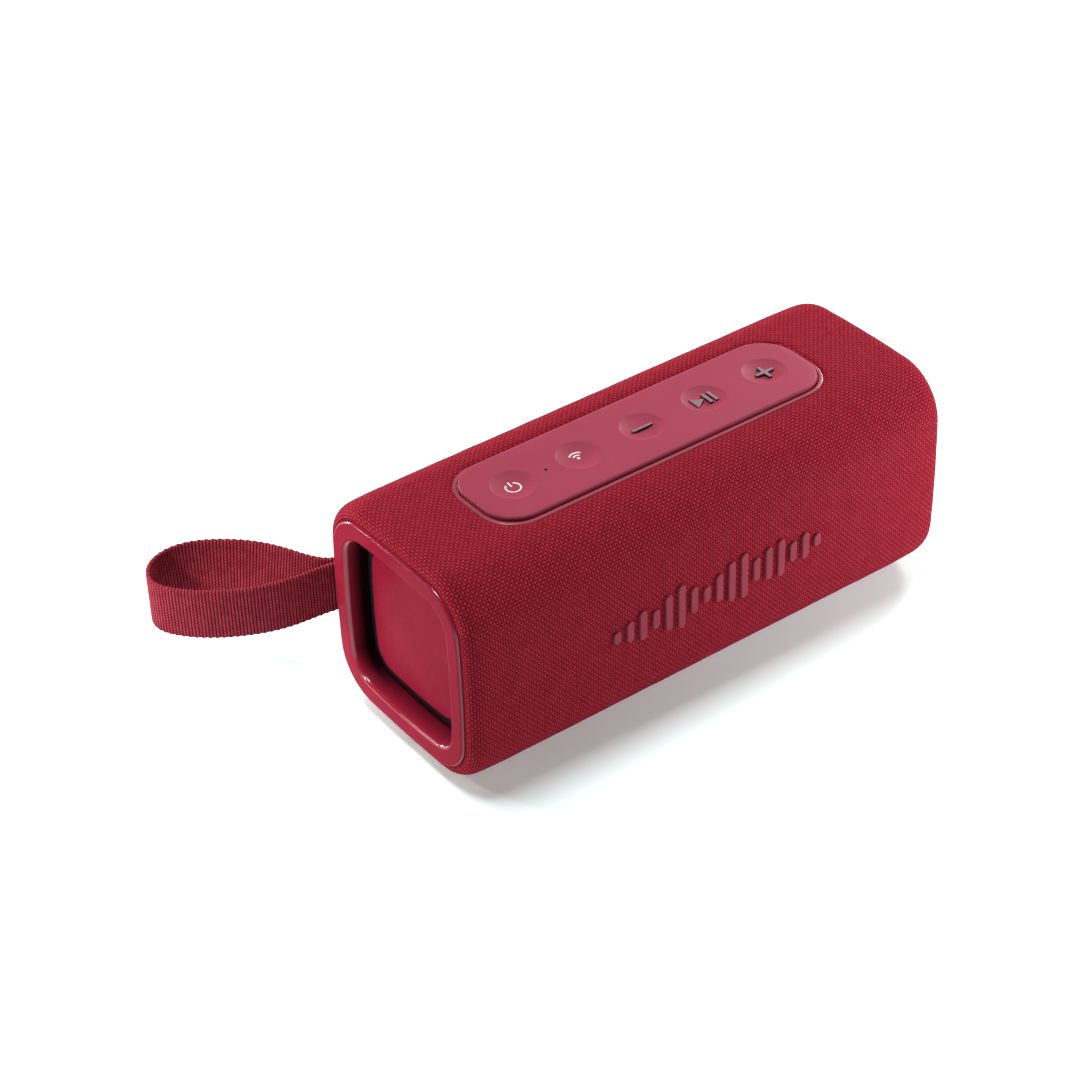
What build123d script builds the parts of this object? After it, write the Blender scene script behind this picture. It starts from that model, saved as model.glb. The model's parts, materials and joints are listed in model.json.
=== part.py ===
from build123d import *
from math import asin, degrees
import os

# Portable party speaker: a fabric-wrapped barrel lying on a rubber foot, with a keypad on top,
# a passive radiator in each end, two drivers behind the front fabric and a webbing wrist strap.
# Millimetres.  X runs along the barrel, -Y is the front and +Z is up.  The origin is on the surface
# that the foot stands on, under the middle of the barrel.

# ------------------------------------------------------------------ barrel
body_length = 161.0
body_width = 64.4
body_height = 66.0
foot_rise = 1.0
crown = 1.1  # how far each long side bows out
corner_radius = 15.5
end_roll = 3.4  # radius on which the fabric turns over each end
cloth = 1.2  # woven fabric with its foam backing
cloth_gap = 0.1
wall = 2.2
axis_height = foot_rise + body_height / 2
half_length = body_length / 2
shell_inset = cloth + cloth_gap
cavity_inset = shell_inset + wall
shell_split = 18.0  # Y of the joint between the two shells
seal_thickness = 0.8

# ------------------------------------------------------------------ ends: ring and passive radiator
ring_proud = 1.0
ring_inset = 3.8
ring_radius = 13.0
ring_wall = 1.5
ring_face = 1.8
ring_depth = 6.0
opening_inset = 9.2
opening_radius = 8.0
skirt_wall = 2.0
mouth_clearance = 0.1
frame_start = 6.1
frame_thickness = 2.5
frame_opening_inset = 10.2
frame_opening_radius = 7.2
partition = 2.5
lip_thickness = 0.6
lip_inset = 8.1
lip_radius = 9.0
roll_height = 1.0
plate_inset = 13.35
plate_radius = 6.5
plate_thickness = 1.6
plate_boss_inset = 17.0
weight_inset = 19.0
weight_radius = 3.0
weight_thickness = 3.0
frame_screw_y = 22.2
frame_screw_z = 23.0
mouth_depth = frame_start + frame_thickness
cavity_start = mouth_depth + partition

# ------------------------------------------------------------------ drivers
driver_x = -41.0  # the left one; the right one is its mirror image
baffle_back = -26.0
baffle_front = -29.9
baffle_half_height = 26.0
driver_opening = 20.0
grille_radius = 22.8
grille_thickness = 0.8
grille_back = -28.4
grille_hole = 1.3
grille_pitch = 1.85
flange_size = 44.0
flange_thickness = 1.4
flange_screw = 19.3
driver_screw_length = 3.6

# ------------------------------------------------------------------ keypad
keypad_length = 110.0
keypad_width = 27.4
keypad_radius = 9.4
keypad_top = 67.6
keypad_gap = 0.5
bezel_rim = 1.1
bezel_top = 66.5  # a little under the fabric, so that only the soft sheet stands proud
tray_floor = 64.2
tray_floor_thickness = 1.0
pocket_floor = 60.9
pocket_wall = 2.0
key_pitch = 21.3
key_names = ("power", "wireless", "minus", "play", "plus")
key_radius = 6.5
key_hole_radius = 6.7
key_rim = 67.55
key_bottom = 65.8
key_dish = 0.9
plunger_radius = 1.8
plunger_bottom = 63.9
symbol_top = 67.3
led_x = -1.5 * key_pitch
led_radius = 0.6
key_board_bottom = 61.35
key_board_thickness = 1.2
bezel_length = keypad_length + 2 * (keypad_gap + bezel_rim)
bezel_width = keypad_width + 2 * (keypad_gap + bezel_rim)
bezel_radius = keypad_radius + keypad_gap + bezel_rim

# ------------------------------------------------------------------ inside
main_board_size = (90.0, 24.0)
main_board_y = 6.0
main_board_bottom = 51.0
board_thickness = 1.6
board_boss_x = 41.0
board_boss_y = 9.0
cell_radius = 9.1
cell_length = 65.0
cell_y = 17.0
cell_heights = (15.5, 35.0)
cradle_wall = 1.6

# ------------------------------------------------------------------ rear ports
port_x = 49.0
port_z = 34.0
tray_length = 27.0
tray_height = 14.0
tray_front = 32.1  # flush with the fabric at the crown
tray_depth = 5.0
tray_wall = 1.2
door_length = 24.0
door_height = 13.2
door_thickness = 1.5
door_face = 32.0
hinge_x = port_x - tray_length / 2 + tray_wall + 1.75
hinge_y = 31.0
hinge_radius = 1.0
trunnion_radius = 0.5
trunnion_fit = 0.05
port_board_top = 32.0
usb_size = (8.9, 7.2, 3.2)
usb_x = port_x - 4.5
aux_x = port_x + 7.0
aux_size = (6.0, 10.0, 5.4)
aux_bore = 1.75
aux_nose = 1.7
socket_front = 27.4

# ------------------------------------------------------------------ strap
strap_z = axis_height - 2.0
strap_width = 16.0
strap_thickness = 1.3
pin_x = -66.0
pin_y = 30.4
pin_radius = 1.3
strap_eye = 2.2  # from the pin's axis to the middle of the webbing
strap_room = 18.0
mount_wall = 1.0

# ------------------------------------------------------------------ foot and badge
foot_length = 112.0
foot_width = 28.0
foot_radius = 8.0
foot_seat = 3.1
bar_width = 2.4
bar_pitch = 4.3
bar_proud = 0.7
bar_heights = (4.0, 6.5, 9.5, 6.0, 11.5, 14.0, 8.5, 5.0, 9.0, 13.0, 14.5, 7.5, 10.5, 12.0, 6.5, 8.5, 4.0)

os.makedirs("parts", exist_ok=True)


# ------------------------------------------------------------------ shared shapes
def end_plane(station):
    """Plane across the barrel, `station` mm in from the left end of the fabric, facing +X."""
    return Plane(origin=(station - half_length, 0, axis_height), x_dir=(0, 1, 0), z_dir=(1, 0, 0))


def front_plane(y, x=0.0, z=axis_height):
    """Upright plane facing the front (-Y), with local x along the barrel."""
    return Plane(origin=(x, y, z), x_dir=(1, 0, 0), z_dir=(0, -1, 0))


def barrel_outline(inset, radius=None):
    """Crowned, rounded-square section of the barrel, drawn `inset` inside the fabric's surface."""
    half_width = body_width / 2 - inset
    half_height = body_height / 2 - inset
    side = half_width - crown
    lid = half_height - crown
    with BuildSketch(Plane.XY, mode=Mode.PRIVATE) as outline:
        with BuildLine():
            ThreePointArc((-side, -lid), (0, -half_height), (side, -lid))
            ThreePointArc((side, -lid), (half_width, 0), (side, lid))
            ThreePointArc((side, lid), (0, half_height), (-side, lid))
            ThreePointArc((-side, lid), (-half_width, 0), (-side, -lid))
        make_face()
        fillet(outline.vertices(), radius or corner_radius - inset)
    return outline.sketch


def save(part, name):
    """Label a finished piece and write it."""
    part.label = name
    export_step(part, f"parts/{name}.step")


def save_pair(part, name):
    """Write a left-hand piece and its mirror image at the right."""
    twin = mirror(part, about=Plane.YZ, mode=Mode.PRIVATE)
    save(part, f"left_{name}")
    save(twin, f"right_{name}")


def key_positions():
    """X of each key, left to right."""
    middle = (len(key_names) - 1) / 2
    return [(index - middle) * key_pitch for index in range(len(key_names))]


# ------------------------------------------------------------------ fabric sleeve
def make_fabric_sleeve():
    """The fabric tube: it rolls over each end and tucks in behind the ring."""
    with BuildPart() as sleeve:
        with BuildSketch(end_plane(0)):
            add(barrel_outline(0))
        extrude(amount=body_length)
        fillet(sleeve.faces().filter_by(Axis.X).edges(), end_roll)
        add(cabinet_envelope(cloth), mode=Mode.SUBTRACT)
        with BuildSketch(end_plane(0)):
            add(barrel_outline(ring_inset - mouth_clearance, ring_radius))
        extrude(amount=body_length, mode=Mode.SUBTRACT)
        with BuildSketch(Plane.XY.offset(axis_height)):
            RectangleRounded(bezel_length + 0.2, bezel_width + 0.2, bezel_radius + 0.1)
        extrude(amount=body_height, mode=Mode.SUBTRACT)
        with BuildSketch(Plane.XY):
            RectangleRounded(foot_length + 0.4, foot_width + 0.4, foot_radius + 0.2)
        extrude(amount=foot_seat, mode=Mode.SUBTRACT)
        with BuildSketch(front_plane(body_width / 2 + 1)):
            with Locations((port_x, port_z - axis_height)):
                RectangleRounded(tray_length + 0.2, tray_height + 2 * tray_wall + 0.2, 3.1)
        extrude(amount=4, mode=Mode.SUBTRACT)
        add(strap_recess(mount_wall + 0.1), mode=Mode.SUBTRACT)
    save(sleeve.part, "fabric_sleeve")


def cabinet_envelope(inset):
    """Solid barrel inside the fabric, inset on every side and rounded over at the ends."""
    with BuildPart(mode=Mode.PRIVATE) as envelope:
        with BuildSketch(end_plane(inset)):
            add(barrel_outline(inset))
        extrude(amount=body_length - 2 * inset)
        fillet(envelope.faces().filter_by(Axis.X).edges(), end_roll - inset)
    return envelope.part


# ------------------------------------------------------------------ cabinet shells
def strap_recess(margin):
    """Hollow behind the strap's pin: deep round the pin, sloping up to the fabric on both sides."""
    with BuildPart(mode=Mode.PRIVATE) as recess:
        with BuildSketch(Plane.XY.offset(strap_z - strap_room / 2 - margin)) as plan:
            with BuildLine():
                Polyline(
                    (-79.0, 34.0),
                    (-77.5, 31.5),
                    (-69.3, 29.1),
                    (-69.3, 26.6),
                    (-62.7, 26.6),
                    (-62.7, 29.1),
                    (-54.5, 31.5),
                    (-53.0, 34.0),
                    close=True,
                )
            make_face()
            if margin:
                offset(amount=margin, kind=Kind.INTERSECTION)
        extrude(amount=strap_room + 2 * margin)
    return recess.part


shell_screw_places = ((-54.0, 7.2), (54.0, 7.2), (-54.0, 57.5), (0.0, 57.5), (54.0, 57.5))
screw_post_radius = 3.0
screw_post_front = 8.0
screw_head_back = 24.4
screw_head_front = 22.5
screw_tip = 10.2


def screw_posts(radius, back, front):
    """Round posts along Y, one for each shell screw, from y = back forward to y = front."""
    with BuildPart(mode=Mode.PRIVATE) as posts:
        with BuildSketch(front_plane(back, z=0)):
            with Locations(*shell_screw_places):
                Circle(radius)
        extrude(amount=back - front)
    return posts.part


def make_cabinet():
    """Whole cabinet before it is parted into shells: barrel wall, end partitions and inner ribs."""
    with BuildPart(mode=Mode.PRIVATE) as cabinet:
        add(cabinet_envelope(shell_inset))
        with BuildSketch(end_plane(cavity_start)):
            add(barrel_outline(cavity_inset))
        extrude(amount=body_length - 2 * cavity_start, mode=Mode.SUBTRACT)
        # baffle, keypad well, strap and port blocks, and the screw posts
        with BuildSketch(front_plane(baffle_back)):
            Rectangle(body_length - 2 * cavity_start, 2 * baffle_half_height)
        extrude(amount=baffle_back - baffle_front)
        with BuildSketch(Plane.XY.offset(pocket_floor - pocket_wall)):
            Rectangle(bezel_length + 2 * pocket_wall, bezel_width + 2 * pocket_wall)
        extrude(amount=4.8)
        with BuildSketch(Plane.XY.offset(strap_z - 12)):
            with Locations((-65.7, 27.0)):
                Rectangle(9.8, 5.8)
        extrude(amount=24)
        add(screw_posts(screw_post_radius, half_length, screw_post_front))
        with BuildSketch(Plane.XY.offset(main_board_bottom + board_thickness)):
            with Locations((0, main_board_y)):
                with GridLocations(2 * board_boss_x, 2 * board_boss_y, 2, 2):
                    Circle(2.5)
        extrude(amount=pocket_floor - pocket_wall - main_board_bottom - board_thickness)
        add(cabinet_envelope(shell_inset), mode=Mode.INTERSECT)
        # mouths for the rings and radiators, right through the partitions
        for inset, radius, depth in (
            (ring_inset - mouth_clearance, ring_radius, mouth_depth),
            (frame_opening_inset, frame_opening_radius, cavity_start + 0.5),
        ):
            for station, inward in ((0, depth), (body_length, -depth)):
                with BuildSketch(end_plane(station)):
                    add(barrel_outline(inset, radius))
                extrude(amount=inward, mode=Mode.SUBTRACT)
        with BuildSketch(end_plane(0)):
            with GridLocations(2 * frame_screw_y, 2 * frame_screw_z, 2, 2):
                Circle(0.7)
        extrude(amount=body_length, mode=Mode.SUBTRACT)
        # driver openings with their grille seats and screw holes
        with BuildSketch(front_plane(baffle_back + 1)):
            with Locations((driver_x, 0), (-driver_x, 0)):
                Circle(driver_opening)
        extrude(amount=8, mode=Mode.SUBTRACT)
        with BuildSketch(front_plane(grille_back - grille_thickness - 0.05)):
            with Locations((driver_x, 0), (-driver_x, 0)):
                Circle(grille_radius + 0.1)
        extrude(amount=4, mode=Mode.SUBTRACT)
        with BuildSketch(front_plane(grille_back)):
            with Locations((driver_x, 0), (-driver_x, 0)):
                Circle(grille_radius + 0.1)
                Circle(driver_opening, mode=Mode.SUBTRACT)
        extrude(amount=2, mode=Mode.SUBTRACT)
        with BuildSketch(front_plane(baffle_back)):
            with Locations((driver_x, 0), (-driver_x, 0)):
                with GridLocations(2 * flange_screw, 2 * flange_screw, 2, 2):
                    Circle(0.9)
        extrude(amount=driver_screw_length - flange_thickness, mode=Mode.SUBTRACT)
        # keypad well and the ribbon slot in its floor
        with BuildSketch(Plane.XY.offset(pocket_floor)):
            RectangleRounded(bezel_length + 0.2, bezel_width + 0.2, bezel_radius + 0.1)
        extrude(amount=10, mode=Mode.SUBTRACT)
        with BuildSketch(Plane.XY.offset(pocket_floor - pocket_wall - 1)):
            with Locations((24, 0)):
                Rectangle(14, 5)
        extrude(amount=pocket_wall + 2, mode=Mode.SUBTRACT)
        # foot seat, strap recess and port window
        with BuildSketch(Plane.XY):
            RectangleRounded(foot_length + 0.1, foot_width + 0.1, foot_radius + 0.05)
        extrude(amount=foot_seat, mode=Mode.SUBTRACT)
        add(strap_recess(mount_wall), mode=Mode.SUBTRACT)
        with BuildSketch(front_plane(body_width / 2 + 1)):
            with Locations((port_x, port_z - axis_height)):
                RectangleRounded(tray_length + 0.1, tray_height + 2 * tray_wall + 0.1, 3.05)
        extrude(amount=10, mode=Mode.SUBTRACT)
        # screw holes: pilots in the board posts, clearance and head seats in the shell posts
        with BuildSketch(Plane.XY.offset(main_board_bottom)):
            with Locations((0, main_board_y)):
                with GridLocations(2 * board_boss_x, 2 * board_boss_y, 2, 2):
                    Circle(0.8)
        extrude(amount=board_thickness + 5, mode=Mode.SUBTRACT)
        add(screw_posts(2.2, half_length, screw_head_front), mode=Mode.SUBTRACT)
        add(screw_posts(1.1, half_length, screw_tip - 0.2), mode=Mode.SUBTRACT)
    return cabinet.part


def make_shells():
    """Part the cabinet into a deep front shell, a rear cover and the seal between them."""
    cabinet = make_cabinet()
    parting = Plane(origin=(0, shell_split, 0), z_dir=(0, 1, 0))
    with BuildPart() as front_shell:
        add(cabinet)
        split(bisect_by=parting, keep=Keep.BOTTOM)
    with BuildPart() as rear_shell:
        add(cabinet)
        split(bisect_by=parting.offset(seal_thickness), keep=Keep.TOP)
    with BuildPart() as shell_seal:
        add(cabinet)
        split(bisect_by=parting, keep=Keep.TOP)
        split(bisect_by=parting.offset(seal_thickness), keep=Keep.BOTTOM)
        add(screw_posts(screw_post_radius + 0.1, half_length, screw_post_front), mode=Mode.SUBTRACT)
    save(front_shell.part, "front_shell")
    save(rear_shell.part, "rear_shell")
    save(shell_seal.part, "shell_seal")


def make_shell_screws():
    """Five screws that draw the rear shell onto the front one."""
    with BuildPart() as screws:
        add(screw_posts(1.05, screw_head_front, screw_tip))
        add(screw_posts(2.0, screw_head_back, screw_head_front))
    save(screws.part, "shell_screws")


# ------------------------------------------------------------------ end rings and radiators
def make_end_rings():
    """Plastic ring in each mouth: a broad rounded face, an outer wall and an inner skirt."""
    with BuildPart() as ring:
        with BuildSketch(end_plane(-ring_proud)):
            add(barrel_outline(ring_inset, ring_radius))
            add(barrel_outline(opening_inset, opening_radius), mode=Mode.SUBTRACT)
        extrude(amount=ring_proud + ring_depth)
        front = ring.faces().filter_by(Axis.X).sort_by(Axis.X)[0]
        fillet(front.outer_wire().edges(), 0.8)
        front = ring.faces().filter_by(Axis.X).sort_by(Axis.X)[0]
        fillet(front.inner_wires()[0].edges(), 1.4)
        with BuildSketch(end_plane(ring_face)):
            add(barrel_outline(ring_inset + ring_wall, ring_radius - ring_wall))
            add(barrel_outline(opening_inset - skirt_wall, opening_radius + skirt_wall), mode=Mode.SUBTRACT)
        extrude(amount=ring_depth, mode=Mode.SUBTRACT)
    save_pair(ring.part, "end_ring")


def make_radiator_frames():
    """Frame screwed to the partition; its front carries the surround's lip in a step."""
    with BuildPart() as frame:
        with BuildSketch(end_plane(frame_start)):
            add(barrel_outline(ring_inset + mouth_clearance, ring_radius - mouth_clearance))
            add(barrel_outline(frame_opening_inset, frame_opening_radius), mode=Mode.SUBTRACT)
        extrude(amount=frame_thickness)
        with BuildSketch(end_plane(frame_start)):
            add(barrel_outline(lip_inset - 0.05, lip_radius + 0.05))
        extrude(amount=lip_thickness, mode=Mode.SUBTRACT)
        with Locations(Plane(origin=end_plane(frame_start).origin, x_dir=(0, 1, 0), z_dir=(-1, 0, 0))):
            with GridLocations(2 * frame_screw_y, 2 * frame_screw_z, 2, 2):
                CounterBoreHole(radius=0.85, counter_bore_radius=1.55, counter_bore_depth=1.2)
    save_pair(frame.part, "radiator_frame")


def make_radiator_screws():
    """Four small screws for each radiator frame."""
    with BuildPart() as screws:
        with BuildSketch(end_plane(frame_start + 0.1)):
            with GridLocations(2 * frame_screw_y, 2 * frame_screw_z, 2, 2):
                Circle(1.5)
        extrude(amount=1.1)
        with BuildSketch(end_plane(frame_start + 1.2)):
            with GridLocations(2 * frame_screw_y, 2 * frame_screw_z, 2, 2):
                Circle(0.65)
        extrude(amount=3.6)
        mirror(about=Plane.YZ)
    save(screws.part, "radiator_screws")


def make_radiator_surrounds():
    """Rubber surround: a glued lip with a raised roll between frame and plate."""
    with BuildPart() as surround:
        with BuildSketch(end_plane(frame_start)):
            add(barrel_outline(lip_inset, lip_radius))
            add(barrel_outline(plate_boss_inset - 0.6, 4.0), mode=Mode.SUBTRACT)
        extrude(amount=lip_thickness)
        with BuildSketch(end_plane(frame_start - roll_height)):
            add(barrel_outline(frame_opening_inset - 0.2, frame_opening_radius))
            add(barrel_outline(plate_inset - 0.35, plate_radius), mode=Mode.SUBTRACT)
        extrude(amount=roll_height)
        crest = surround.faces().filter_by(Axis.X).sort_by(Axis.X)[0]
        fillet(crest.edges(), 0.8)
    save_pair(surround.part, "radiator_surround")


def make_radiator_plates():
    """Flat coloured plate that moves in and out on its surround."""
    with BuildPart() as plate:
        with BuildSketch(end_plane(frame_start - plate_thickness)):
            add(barrel_outline(plate_inset, plate_radius))
        extrude(amount=plate_thickness)
        front = plate.faces().filter_by(Axis.X).sort_by(Axis.X)[0]
        fillet(front.edges(), 0.5)
        with BuildSketch(end_plane(frame_start)):
            add(barrel_outline(plate_boss_inset, 3.5))
        extrude(amount=lip_thickness + 0.1)
    save_pair(plate.part, "radiator_plate")


def make_radiator_weights():
    """Steel tuning weight on the back of each plate."""
    with BuildPart() as weight:
        with BuildSketch(end_plane(frame_start + lip_thickness + 0.1)):
            add(barrel_outline(weight_inset, weight_radius))
        extrude(amount=weight_thickness)
    save_pair(weight.part, "radiator_weight")


# ------------------------------------------------------------------ drivers
driver_axis = Axis((driver_x, 0, axis_height), (0, 1, 0))
driver_half_plane = Plane(origin=(driver_x, 0, axis_height))


def make_driver_grilles():
    """Perforated steel disc in front of each driver."""
    with BuildPart() as grille:
        with BuildSketch(front_plane(grille_back, driver_x)):
            Circle(grille_radius)
            with HexLocations(radius=grille_pitch, x_count=11, y_count=11) as holes:
                inside = [place for place in holes.local_locations if place.position.length < 19.5]
            with Locations(*inside):
                Circle(grille_hole, mode=Mode.SUBTRACT)
        extrude(amount=grille_thickness)
    save_pair(grille.part, "driver_grille")


def make_driver_baskets():
    """Square flange, open ribbed cone and the seat for the magnet."""
    with BuildPart() as basket:
        with BuildSketch(front_plane(baffle_back + flange_thickness, driver_x)):
            RectangleRounded(flange_size, flange_size, 3.0)
            Circle(18.0, mode=Mode.SUBTRACT)
            with GridLocations(2 * flange_screw, 2 * flange_screw, 2, 2):
                Circle(1.1, mode=Mode.SUBTRACT)
        extrude(amount=flange_thickness)
        with BuildSketch(driver_half_plane):
            with BuildLine():
                Polyline(
                    (20.6, -24.6),
                    (14.5, -16.4),
                    (14.5, -15.0),
                    (8.4, -15.0),
                    (8.4, -16.0),
                    (13.2, -16.0),
                    (19.2, -24.6),
                    close=True,
                )
            make_face()
        revolve(axis=driver_axis)
        with BuildSketch(front_plane(-17.6, driver_x)):
            with PolarLocations(17.5, 4):
                Rectangle(9.0, 13.0)
        extrude(amount=5.6, mode=Mode.SUBTRACT)
    save_pair(basket.part, "driver_basket")


def make_driver_surrounds():
    """Rubber half-roll between the basket and the cone's edge."""
    with BuildPart() as surround:
        with BuildSketch(driver_half_plane):
            with BuildLine():
                Line((19.7, -26.6), (18.2, -26.6))
                ThreePointArc((18.2, -26.6), (16.7, -27.9), (15.2, -26.6))
                Line((15.2, -26.6), (14.2, -26.6))
                Line((14.2, -26.6), (14.2, -26.35))
                Line((14.2, -26.35), (15.5, -26.35))
                ThreePointArc((15.5, -26.35), (16.7, -27.4), (17.9, -26.35))
                Line((17.9, -26.35), (17.9, -26.05))
                Line((17.9, -26.05), (19.7, -26.05))
                Line((19.7, -26.05), (19.7, -26.6))
            make_face()
        revolve(axis=driver_axis)
    save_pair(surround.part, "driver_surround")


def make_driver_spiders():
    """Cloth centring disc that holds the coil in its gap."""
    with BuildPart() as spider:
        with BuildSketch(front_plane(-18.3, driver_x)):
            Circle(14.3)
            Circle(7.2, mode=Mode.SUBTRACT)
        extrude(amount=0.5)
    save_pair(spider.part, "driver_spider")


def make_driver_cones():
    """Shallow cone with a domed dust cap."""
    cap_radius = 7.4
    cap_rise = 2.3
    cap_edge = -21.9
    paper = 0.5
    rim_front = (15.2, -26.3)
    rim_back = (15.2, -25.8)
    dome_radius = (cap_radius**2 + cap_rise**2) / (2 * cap_rise)
    dome_centre = (0, cap_edge - cap_rise + dome_radius)
    dome_angle = degrees(asin(cap_radius / dome_radius))
    with BuildPart() as cone:
        with BuildSketch(driver_half_plane):
            with BuildLine():
                outside = CenterArc(dome_centre, dome_radius, -90, dome_angle)
                inside = CenterArc(dome_centre, dome_radius - paper, -90, dome_angle)
                Polyline(outside @ 1, rim_front, rim_back, inside @ 1)
                Line(inside @ 0, outside @ 0)
            make_face()
        revolve(axis=driver_axis)
    save_pair(cone.part, "driver_cone")


def make_voice_coils():
    """Coil on its former, hanging in the magnet's gap."""
    with BuildPart() as coil:
        with BuildSketch(front_plane(-11.0, driver_x)):
            Circle(7.0)
            Circle(6.6, mode=Mode.SUBTRACT)
        extrude(amount=10.2)
    save_pair(coil.part, "voice_coil")


def make_driver_magnets():
    """Ring magnet between the steel plates."""
    with BuildPart() as magnet:
        with BuildSketch(front_plane(-7.6, driver_x)):
            Circle(12.6)
            Circle(9.0, mode=Mode.SUBTRACT)
        extrude(amount=5.0)
    save_pair(magnet.part, "driver_magnet")


def make_motor_steel():
    """Top plate, and the back plate with its pole, as two solids round the magnet."""
    with BuildPart() as steel:
        with BuildSketch(front_plane(-12.6, driver_x)):
            Circle(13.0)
            Circle(7.6, mode=Mode.SUBTRACT)
        extrude(amount=2.4)
        with BuildSketch(front_plane(-5.2, driver_x)):
            Circle(13.0)
        extrude(amount=2.4)
        with BuildSketch(front_plane(-7.6, driver_x)):
            Circle(6.2)
        extrude(amount=7.4)
    save_pair(steel.part, "motor_steel")


def make_driver_screws():
    """Four screws through each basket's flange into the baffle."""
    with BuildPart() as screws:
        with BuildSketch(front_plane(baffle_back + flange_thickness, driver_x)):
            with GridLocations(2 * flange_screw, 2 * flange_screw, 2, 2):
                Circle(0.85)
        extrude(amount=driver_screw_length - 0.1)
        with BuildSketch(front_plane(baffle_back + flange_thickness + 1.3, driver_x)):
            with GridLocations(2 * flange_screw, 2 * flange_screw, 2, 2):
                Circle(1.7)
        extrude(amount=1.3)
        mirror(about=Plane.YZ)
    save(screws.part, "driver_screws")


# ------------------------------------------------------------------ keypad
def make_keypad_bezel():
    """Tray in the well: its rim frames the keypad and its floor carries it."""
    with BuildPart() as bezel:
        with BuildSketch(Plane.XY.offset(pocket_floor + 0.05)):
            RectangleRounded(bezel_length, bezel_width, bezel_radius)
        extrude(amount=bezel_top - pocket_floor - 0.05)
        fillet(bezel.faces().sort_by(Axis.Z)[-1].edges(), 0.45)
        for bottom, height in (
            (tray_floor + tray_floor_thickness, 4.0),
            (pocket_floor, tray_floor - pocket_floor),
        ):
            with BuildSketch(Plane.XY.offset(bottom)):
                RectangleRounded(
                    bezel_length - 2 * bezel_rim, bezel_width - 2 * bezel_rim, bezel_radius - bezel_rim
                )
            extrude(amount=height, mode=Mode.SUBTRACT)
        with BuildSketch(Plane.XY.offset(tray_floor)):
            with Locations([(x, 0) for x in key_positions()]):
                Circle(3.2)
            with Locations((led_x, 0)):
                Circle(led_radius + 0.1)
        extrude(amount=tray_floor_thickness, mode=Mode.SUBTRACT)
    save(bezel.part, "keypad_bezel")


def make_keypad_sheet():
    """Rubber sheet, a little proud of the bezel, with a round place for each key."""
    with BuildPart() as sheet:
        bottom = tray_floor + tray_floor_thickness + 0.05
        with BuildSketch(Plane.XY.offset(bottom)):
            RectangleRounded(keypad_length, keypad_width, keypad_radius)
        extrude(amount=keypad_top - bottom)
        fillet(sheet.faces().sort_by(Axis.Z)[-1].edges(), 0.6)
        with BuildSketch(Plane.XY.offset(bottom)):
            with Locations([(x, 0) for x in key_positions()]):
                Circle(key_hole_radius)
            with Locations((led_x, 0)):
                Circle(led_radius + 0.1)
        extrude(amount=4, mode=Mode.SUBTRACT)
    save(sheet.part, "keypad_sheet")


def minus_symbol():
    """Bar, as a sketch centred on the key."""
    with BuildSketch(mode=Mode.PRIVATE) as symbol:
        Rectangle(6.6, 0.9)
    return symbol.sketch


def plus_symbol():
    """Two crossed bars."""
    with BuildSketch(mode=Mode.PRIVATE) as symbol:
        Rectangle(6.0, 1.1)
        Rectangle(1.1, 5.4)
    return symbol.sketch


def play_symbol():
    """Triangle and two bars side by side."""
    with BuildSketch(mode=Mode.PRIVATE) as symbol:
        with BuildLine():
            Polyline((-3.6, -2.3), (-3.6, 2.3), (-0.1, 0), close=True)
        make_face()
        with Locations((1.0, 0), (2.9, 0)):
            Rectangle(1.0, 4.6)
    return symbol.sketch


def make_keys():
    """Five dished rubber keys, each with a plunger over its switch."""
    symbols = {"minus": minus_symbol, "plus": plus_symbol, "play": play_symbol}
    dish_radius = ((key_radius - 0.3) ** 2 + key_dish**2) / (2 * key_dish)
    for name, x in zip(key_names, key_positions()):
        with BuildPart() as key:
            with BuildSketch(Plane.XY.offset(key_bottom)):
                with Locations((x, 0)):
                    Circle(key_radius)
            extrude(amount=key_rim - key_bottom)
            with Locations((x, 0, key_rim - key_dish + dish_radius)):
                Sphere(dish_radius, mode=Mode.SUBTRACT)
            with BuildSketch(Plane.XY.offset(plunger_bottom)):
                with Locations((x, 0)):
                    Circle(plunger_radius)
            extrude(amount=key_bottom - plunger_bottom)
            if name in symbols:
                with BuildSketch(Plane.XY.offset(key_bottom + 0.2)):
                    with Locations((x, 0)):
                        add(symbols[name]())
                extrude(amount=symbol_top - key_bottom - 0.2)
        save(key.part, f"key_{name}")


def make_status_led():
    """Clear light pipe from the key board up through the keypad."""
    with BuildPart() as lens:
        with BuildSketch(Plane.XY.offset(key_board_bottom + key_board_thickness + 0.5)):
            with Locations((led_x, 0)):
                Circle(led_radius)
        extrude(amount=keypad_top - key_board_bottom - key_board_thickness - 0.6)
    save(lens.part, "status_led")


def make_key_board():
    """Circuit board under the keys."""
    with BuildPart() as board:
        with BuildSketch(Plane.XY.offset(key_board_bottom)):
            RectangleRounded(106, 24, 6)
        extrude(amount=key_board_thickness)
    save(board.part, "key_board")


def make_key_switches():
    """Tact switch under each key and the small lamp under the light pipe."""
    top = key_board_bottom + key_board_thickness
    with BuildPart() as switches:
        with BuildSketch(Plane.XY.offset(top)):
            with Locations([(x, 0) for x in key_positions()]):
                Rectangle(4.6, 4.6)
            with Locations((led_x, 0)):
                Rectangle(1.6, 0.8)
        extrude(amount=0.4)
        with BuildSketch(Plane.XY.offset(top + 0.4)):
            with Locations([(x, 0) for x in key_positions()]):
                Circle(1.2)
        extrude(amount=0.35)
    save(switches.part, "key_switches")


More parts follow.
